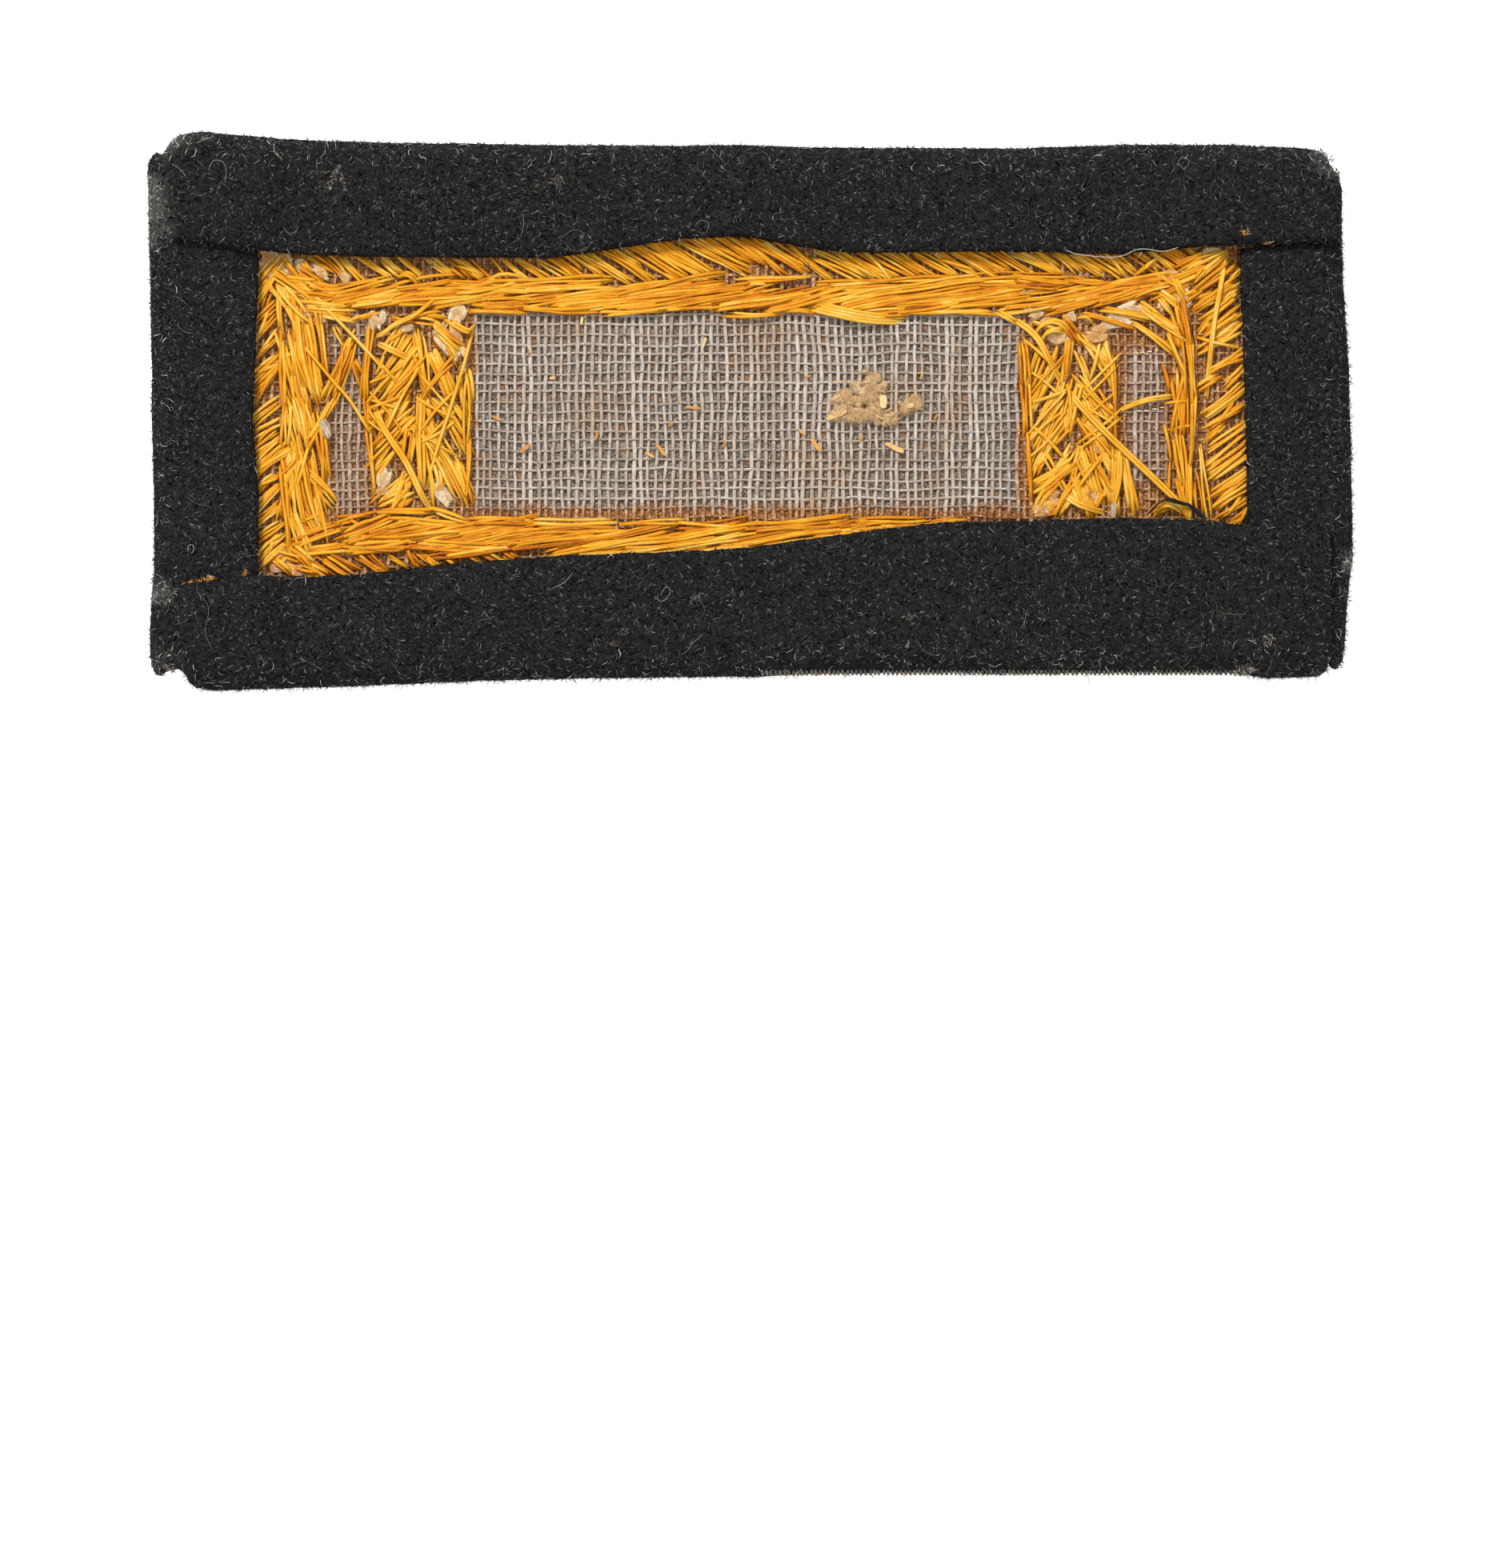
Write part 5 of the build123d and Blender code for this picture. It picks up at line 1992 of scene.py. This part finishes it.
LINT = rows_of(
    Lint,
    (417, 224, 2.7, 0.55, 68, 0.05), (429, 226, 2.3, 0.5, 112, 0.05), (424, 212, 1.0, 0.6, 90, 0.1),
    (402, 222, 1.6, 0.8, 60, -0.25), (665, 237, 1.1, 1.3, 0, -0.25), (700, 231, 1.5, 1.1, 80, -0.1),
    (697, 226, 1.0, 0.7, 80, -0.15), (780, 790, 1.3, 0.8, 30, -0.1), (765, 806, 1.4, 0.9, 20, -0.2),
    (1090, 790, 1.2, 0.8, 30, -0.1), (1136, 772, 1.5, 0.7, 10, 0.0), (1300, 755, 1.0, 0.6, 60, -0.1),
    (1380, 770, 0.9, 0.6, 10, -0.15), (1585, 802, 1.5, 1.3, 60, 0.1), (922, 272, 1.2, 0.8, 40, -0.25),
    (1562, 834, 2.6, 1.2, 10, 0.2), (1548, 838, 1.4, 1.0, 30, 0.1), (212, 836, 1.4, 0.6, 150, 0.1),
    (1656, 194, 2.2, 1.0, 150, 0.0), (1668, 216, 1.6, 0.9, 120, -0.05), (1682, 701, 0.7, 1.2, 0, 0.5),
)
PALE_LINT = rows_of(
    Lint,
    (1290, 385, 2.0, 0.7, 5, 0.3), (1288, 362, 2.4, 0.35, 20, 0.4), (1404, 396, 2.2, 0.9, 28, 0.4),
    (533, 340, 2.4, 0.45, 60, 0.35), (564, 330, 1.5, 0.8, 20, 0.3), (541, 330, 1.2, 0.4, 30, 0.3),
    (250, 727, 3.6, 0.25, 8, -0.3), (307, 717, 0.8, 0.4, 60, -0.2), (262, 722, 0.8, 0.4, 10, 0.2),
    (1556, 291, 0.8, 0.5, 20, 0.1), (1583, 304, 0.7, 0.4, 0, 0.1), (722, 399, 0.5, 1.0, 0, 0.4),
)
LINT_DULLNESS = 0.22
LINT_CORNERS = 12
LINT_LIFT = 0.08
STRAY_HAIRS = 45
STRAY_HAIRS_ABOVE = SILK_TOP + 0.5
CURL_STEPS = 9
WORN_FOLD_FROM = 952
WORN_FOLD_TO = 1560
WORN_FOLD_AT = 839
WORN_RIB_PITCH = 0.45
WORN_RIB_WIDTH = 0.37
WORN_RIB_LENGTH = 0.5

# Hairs that lie higher than this run level, and the darkest one is a thread of several strands
LEVEL_HAIR_HEIGHT = 0.4
YARN_TINT = 0.1
YARN_STRANDS = 16
YARN_STRAY_AFTER = 12


class Rest:
    """Finds how high the dressed strap is at a place."""

    FAR = 50.0

    def __init__(self, *names):
        self.tree = surface_of(*(bpy.data.objects[name] for name in names))

    def level(self, x, y, fallback):
        spot = self.tree.ray_cast(Vector((x, y, self.FAR)), Vector((0, 0, -1)))[0]
        return spot.z if spot else fallback


class STRAP_OT_lint(bpy.types.Operator):
    """Drop the stray hairs, lint and stitch ends, and wear the lower fold"""

    bl_idname = "strap.lint"
    bl_label = "Lint"

    def hairs(self, rest):
        paths = Paths(101)
        for hair in HAIRS:
            places = [seen(*place) for place in hair.places]
            heights = [rest.level(x, y, PANEL_BOTTOM) + hair.height for x, y in places]
            if hair.height > LEVEL_HAIR_HEIGHT:
                heights = [max(heights)] * len(heights)
            path = curve_through(places, heights, 0.4)
            if hair.tint > YARN_TINT:
                paths.add(path, hair.width, hair.tint)
            else:
                self.yarn(path, hair.width)
        low, high = node_box("wool_cover")
        made = 0
        while made < STRAY_HAIRS:
            x = paths.chance.uniform(low.x, high.x)
            y = paths.chance.uniform(low.y, high.y)
            level = rest.level(x, y, 0.0)
            if level < STRAY_HAIRS_ABOVE:
                continue
            made += 1
            paths.add(self.curl(paths.chance, rest, x, y, level), paths.chance.uniform(0.03, 0.05),
                      0.1 + 0.5 * paths.chance.random() ** 2, 0.5)
        finish_piece(paths.grow("stray_hairs", "grey_fibre", 1.0, 4), "dark_wool")

    def yarn(self, path, width):
        """A dark woolly thread: fine strands wound loosely round one path."""
        paths = Paths(102)
        for strand in range(YARN_STRANDS):
            stray = strand > YARN_STRAY_AFTER
            phase = paths.chance.uniform(0, 2 * math.pi)
            radius = width * paths.chance.uniform(0.2, 0.7) * (1.6 if stray else 1.0)
            pitch = paths.chance.uniform(0.5, 0.8)
            wound = []
            for number, (x, y, z) in enumerate(path):
                turn = phase + number * pitch
                wound.append((x + radius * math.cos(turn), y + radius * math.cos(turn) * 0.5,
                              z + radius * math.sin(turn)))
            paths.add(wound, width * (0.2 if stray else 0.36), paths.chance.uniform(0.0, 0.6))
        finish_piece(paths.grow("woolly_thread", "dark_wool_hair", 1.0, 4), "dark_wool")

    def curl(self, chance, rest, x, y, level):
        """A hair that wanders over the wool from one place."""
        heading = chance.uniform(0, 2 * math.pi)
        bend = chance.gauss(0, 0.18)
        lift = chance.uniform(0.12, 0.3)
        step = chance.uniform(0.2, 0.42)
        path = []
        for _ in range(CURL_STEPS):
            here = rest.level(x, y, level)
            level = here if here > level - 0.5 else level
            path.append((x, y, level + lift))
            x += step * math.cos(heading)
            y += step * math.sin(heading)
            heading += bend + chance.uniform(-0.35, 0.35)
        return path

    def patch(self, name, lints, rest, density, lengths, seed, material):
        """Small mats of fibre, grown on patches that are then taken away."""
        points = []
        faces = []
        shades = []
        for lint in lints:
            x, y = seen(lint.photo_x, lint.photo_y)
            turn = math.radians(lint.turn)
            level = rest.level(x, y, PANEL_BOTTOM + WOOL_THICKNESS) + LINT_LIFT
            first = len(points)
            for step in range(LINT_CORNERS):
                angle = 2 * math.pi * step / LINT_CORNERS
                a = math.cos(angle) * lint.long / 2
                b = math.sin(angle) * lint.short / 2
                points.append((*turned_place(x, y, a, b, turn), level))
                shades.append(lint.shade - LINT_DULLNESS)
            faces.append(tuple(range(first, first + LINT_CORNERS)))
        base = mesh_piece(name + "_base", points, faces, wear=shades, cover=[1.0] * len(points))
        mat = grow_fibres(name, base, "cover", density, seed, lengths, lean=0.7, upright=1.5,
                          material=material)
        finish_piece(mat, "raw_cotton")
        bpy.data.objects.remove(base)

    def worn_fold(self, rest):
        """Pale ribs where the lower fold has worn through."""
        paths = Paths(103)
        start, level = seen(WORN_FOLD_FROM, WORN_FOLD_AT)
        end = seen(WORN_FOLD_TO, WORN_FOLD_AT)[0]
        count = int((end - start) / WORN_RIB_PITCH)
        for number in range(count):
            x = start + number * WORN_RIB_PITCH + paths.chance.uniform(-0.05, 0.05)
            path = []
            for share in (0.0, 0.5, 1.0):
                y = level + 0.1 - WORN_RIB_LENGTH * share
                path.append((x + 0.1 * share, y, rest.level(x, y, PANEL_BOTTOM + 2.6) + 0.06))
            paths.add(path, WORN_RIB_WIDTH, paths.chance.uniform(0.2, 0.5))
        finish_piece(paths.grow("worn_fold_ribs", "grey_fibre", 0.8, 5), "dark_wool")

    def execute(self, context):
        rest = Rest("wool_cover_cloth", "border_silk_upper", "crinoline_ground")
        self.hairs(rest)
        self.patch("grey_lint", LINT, rest, 60, (0.25, 0.7), 105, "grey_fibre")
        self.patch("pale_lint", PALE_LINT, rest, 40, (0.3, 0.9), 106, "pale_fibre")
        self.worn_fold(rest)
        return {"FINISHED"}


# The face side, which lies on the table

RIB_SPACING = 0.62
RIB_STEPS = 4
RIB_ROUNDNESS = 0.6
RIB_TUCK = 0.35
BORDER_BAND = 7.5
CORE_INSET = 0.45


def box_faces(first):
    """The six sides of a box whose corners run x, then y, then z from one number."""
    sides = ((0, 2, 3, 1), (4, 5, 7, 6), (0, 1, 5, 4), (2, 6, 7, 3), (0, 4, 6, 2), (1, 3, 7, 5))
    return [tuple(first + corner for corner in side) for side in sides]


class STRAP_OT_face(bpy.types.Operator):
    """Wind the gilt wire over the raised border and bars of the face"""

    bl_idname = "strap.face"
    bl_label = "Gilt face"

    def wires(self, paths, start, end, inward, band, mitred):
        """Wires side by side across a band, shorter in its mitred corners."""
        run = (end - start).length
        way = (end - start) / run
        count = int(run / RIB_SPACING)
        for number in range(count):
            along = (number + 0.5) * run / count
            reach = min(band, along, run - along) if mitred else band
            if reach < RIB_SPACING:
                continue
            path = []
            for step in range(RIB_STEPS + 1):
                spot = start + way * along + inward * (reach * step / RIB_STEPS)
                bow = math.sin(math.pi * step / RIB_STEPS) ** RIB_ROUNDNESS
                path.append((spot.x, spot.y, mix(PANEL_BOTTOM - RIB_TUCK, RIB_SPACING / 2, bow)))
            paths.add(path, RIB_SPACING * 0.98, paths.chance.random(), 0.9)

    def core(self, name, boxes):
        """The padding under the wire, as plain boxes."""
        points = []
        faces = []
        for low, high in boxes:
            faces += box_faces(len(points))
            for z in (CORE_INSET, PANEL_BOTTOM - 0.02):
                for y in (low.y, high.y):
                    for x in (low.x, high.x):
                        points.append((x, y, z))
        return mesh_piece(name, points, faces, "gilt_bullion", smooth_faces=False)

    def execute(self, context):
        low, high = node_box("face_border")
        places = ((low.x, low.y), (high.x, low.y), (high.x, high.y), (low.x, high.y))
        corners = [Vector(place) for place in places]
        paths = Paths(111)
        for number, start in enumerate(corners):
            end = corners[(number + 1) % 4]
            way = (end - start).normalized()
            self.wires(paths, start, end, Vector((-way.y, way.x)), BORDER_BAND, True)
        wire = paths.grow("face_border_wire", "gilt_bullion", 0.96, 6)
        finish_piece(wire, "gilt_wire", "face_border")
        inset = CORE_INSET
        near, far = inset, BORDER_BAND - inset
        boxes = [
            (Vector((low.x + near, low.y + near)), Vector((high.x - near, low.y + far))),
            (Vector((low.x + near, high.y - far)), Vector((high.x - near, high.y - near))),
            (Vector((low.x + near, low.y + far)), Vector((low.x + far, high.y - far))),
            (Vector((high.x - far, low.y + far)), Vector((high.x - near, high.y - far))),
        ]
        finish_piece(self.core("face_border_core", boxes), "gilt_wire")
        for number in (1, 2, 3, 4):
            node = f"face_bar_{number}"
            low, high = node_box(node)
            paths = Paths(112 + number)
            foot, head = Vector((low.x, low.y)), Vector((low.x, high.y))
            self.wires(paths, foot, head, Vector((1, 0)), high.x - low.x, False)
            finish_piece(paths.grow(node + "_wire", "gilt_bullion", 0.96, 6), "gilt_wire", node)
            inner = (Vector((low.x + inset, low.y + inset)), Vector((high.x - inset, high.y - inset)))
            finish_piece(self.core(node + "_core", [inner]), "gilt_wire")
        return {"FINISHED"}


class STRAP_OT_stage(bpy.types.Operator):
    """Set the table, the soft studio lights and the camera"""

    bl_idname = "strap.stage"
    bl_label = "Stage"

    LENS = 300.0
    SENSOR = 36.0
    FLOOR_HALF = 3000.0
    FAR_CLIP = 100.0
    REFERENCE_LEVEL = 5.0
    WORLD_STRENGTH = 0.35

    def light(self, name, place, size, power):
        data = bpy.data.lights.new(name, "AREA")
        data.shape = "DISK"
        data.size = size
        data.energy = power
        lamp = put(name, data)
        lamp.location = place
        lamp.rotation_mode = "QUATERNION"
        lamp.rotation_quaternion = (-Vector(place)).to_track_quat("-Z", "Y")

    def execute(self, context):
        scene = context.scene
        half = self.FLOOR_HALF
        corners = [(-half, -half, 0), (half, -half, 0), (half, half, 0), (-half, half, 0)]
        floor = mesh_piece("table_top", corners, [(0, 1, 2, 3)], "white_table")
        world = bpy.data.worlds.new("studio")
        world.use_nodes = True
        sky = world.node_tree.nodes["Background"].inputs
        sky["Color"].default_value = (1, 1, 1, 1)
        sky["Strength"].default_value = self.WORLD_STRENGTH
        scene.world = world
        self.light("key", (-0.4, 0.8, 0.95), size=0.28, power=15.0)
        self.light("overhead", (0.3, -0.2, 1.4), size=1.2, power=6.0)
        data = bpy.data.cameras.new("camera")
        data.lens = self.LENS
        data.sensor_width = self.SENSOR
        data.sensor_fit = "AUTO"
        data.clip_end = self.FAR_CLIP
        camera = put("camera", data)
        x, y = seen(PHOTO_WIDTH / 2, PHOTO_HEIGHT / 2)
        distance = PHOTO_HEIGHT / PHOTO_SCALE * self.LENS / self.SENSOR
        camera.location = (x * MM, y * MM, (self.REFERENCE_LEVEL + distance) * MM)
        scene.camera = camera
        scene.view_settings.view_transform = "Standard"
        return {"FINISHED"}


def length_setting(name, description, length):
    return bpy.props.FloatProperty(
        name=name, description=description, default=length * MM, subtype="DISTANCE", unit="LENGTH"
    )


def colour_setting(name, description, *shown):
    return bpy.props.FloatVectorProperty(
        name=name, description=description, default=paint(*shown), subtype="COLOR"
    )


class StrapSettings(bpy.types.PropertyGroup):
    """Sizes and colours of the strap"""

    nap_density: bpy.props.FloatProperty(
        name="Nap density", description="Wool fibres on a square millimetre", default=11.0, min=0.0
    )
    nap_shortest: length_setting("Shortest nap", "Length of the shortest fibres", 0.32)
    nap_longest: length_setting("Longest nap", "Length of the longest fibres", 1.0)
    wool_colour: colour_setting("Wool", "Colour of the felted wool", 16, 16, 17)
    wool_fibre_colour: colour_setting("Wool fibres", "Colour of its fine fibres", 72, 71, 70)
    silk_colour: colour_setting("Silk", "Colour of the embroidery silk", 237, 153, 12)
    gilt_colour: colour_setting("Gilt", "Colour of the gilt wire", 222, 176, 88)


class STRAP_PT_panel(bpy.types.Panel):
    """Lists the strap's pieces and settings"""

    bl_idname = "STRAP_PT_panel"
    bl_label = "Shoulder strap"
    bl_space_type = "VIEW_3D"
    bl_region_type = "UI"
    bl_category = "Strap"

    def draw(self, context):
        strap = settings()
        for name in StrapSettings.__annotations__:
            self.layout.prop(strap, name)
        for operator in OPERATORS:
            self.layout.operator(operator.bl_idname)


OPERATORS = (
    STRAP_OT_stage,
    STRAP_OT_wool_cover,
    STRAP_OT_crinoline,
    STRAP_OT_silk,
    STRAP_OT_padding,
    STRAP_OT_residue,
    STRAP_OT_lint,
    STRAP_OT_face,
)


def register():
    for kind in (StrapSettings, STRAP_PT_panel, *OPERATORS):
        bpy.utils.register_class(kind)
    bpy.types.Scene.shoulder_strap = bpy.props.PointerProperty(type=StrapSettings)


def unregister():
    del bpy.types.Scene.shoulder_strap
    for kind in reversed((StrapSettings, STRAP_PT_panel, *OPERATORS)):
        bpy.utils.unregister_class(kind)


def main():
    """Makes every piece in order."""
    register()
    for operator in OPERATORS:
        group, name = operator.bl_idname.split(".")
        getattr(getattr(bpy.ops, group), name)()
    clear_fibre_library()


if __name__ == "__main__":
    main()
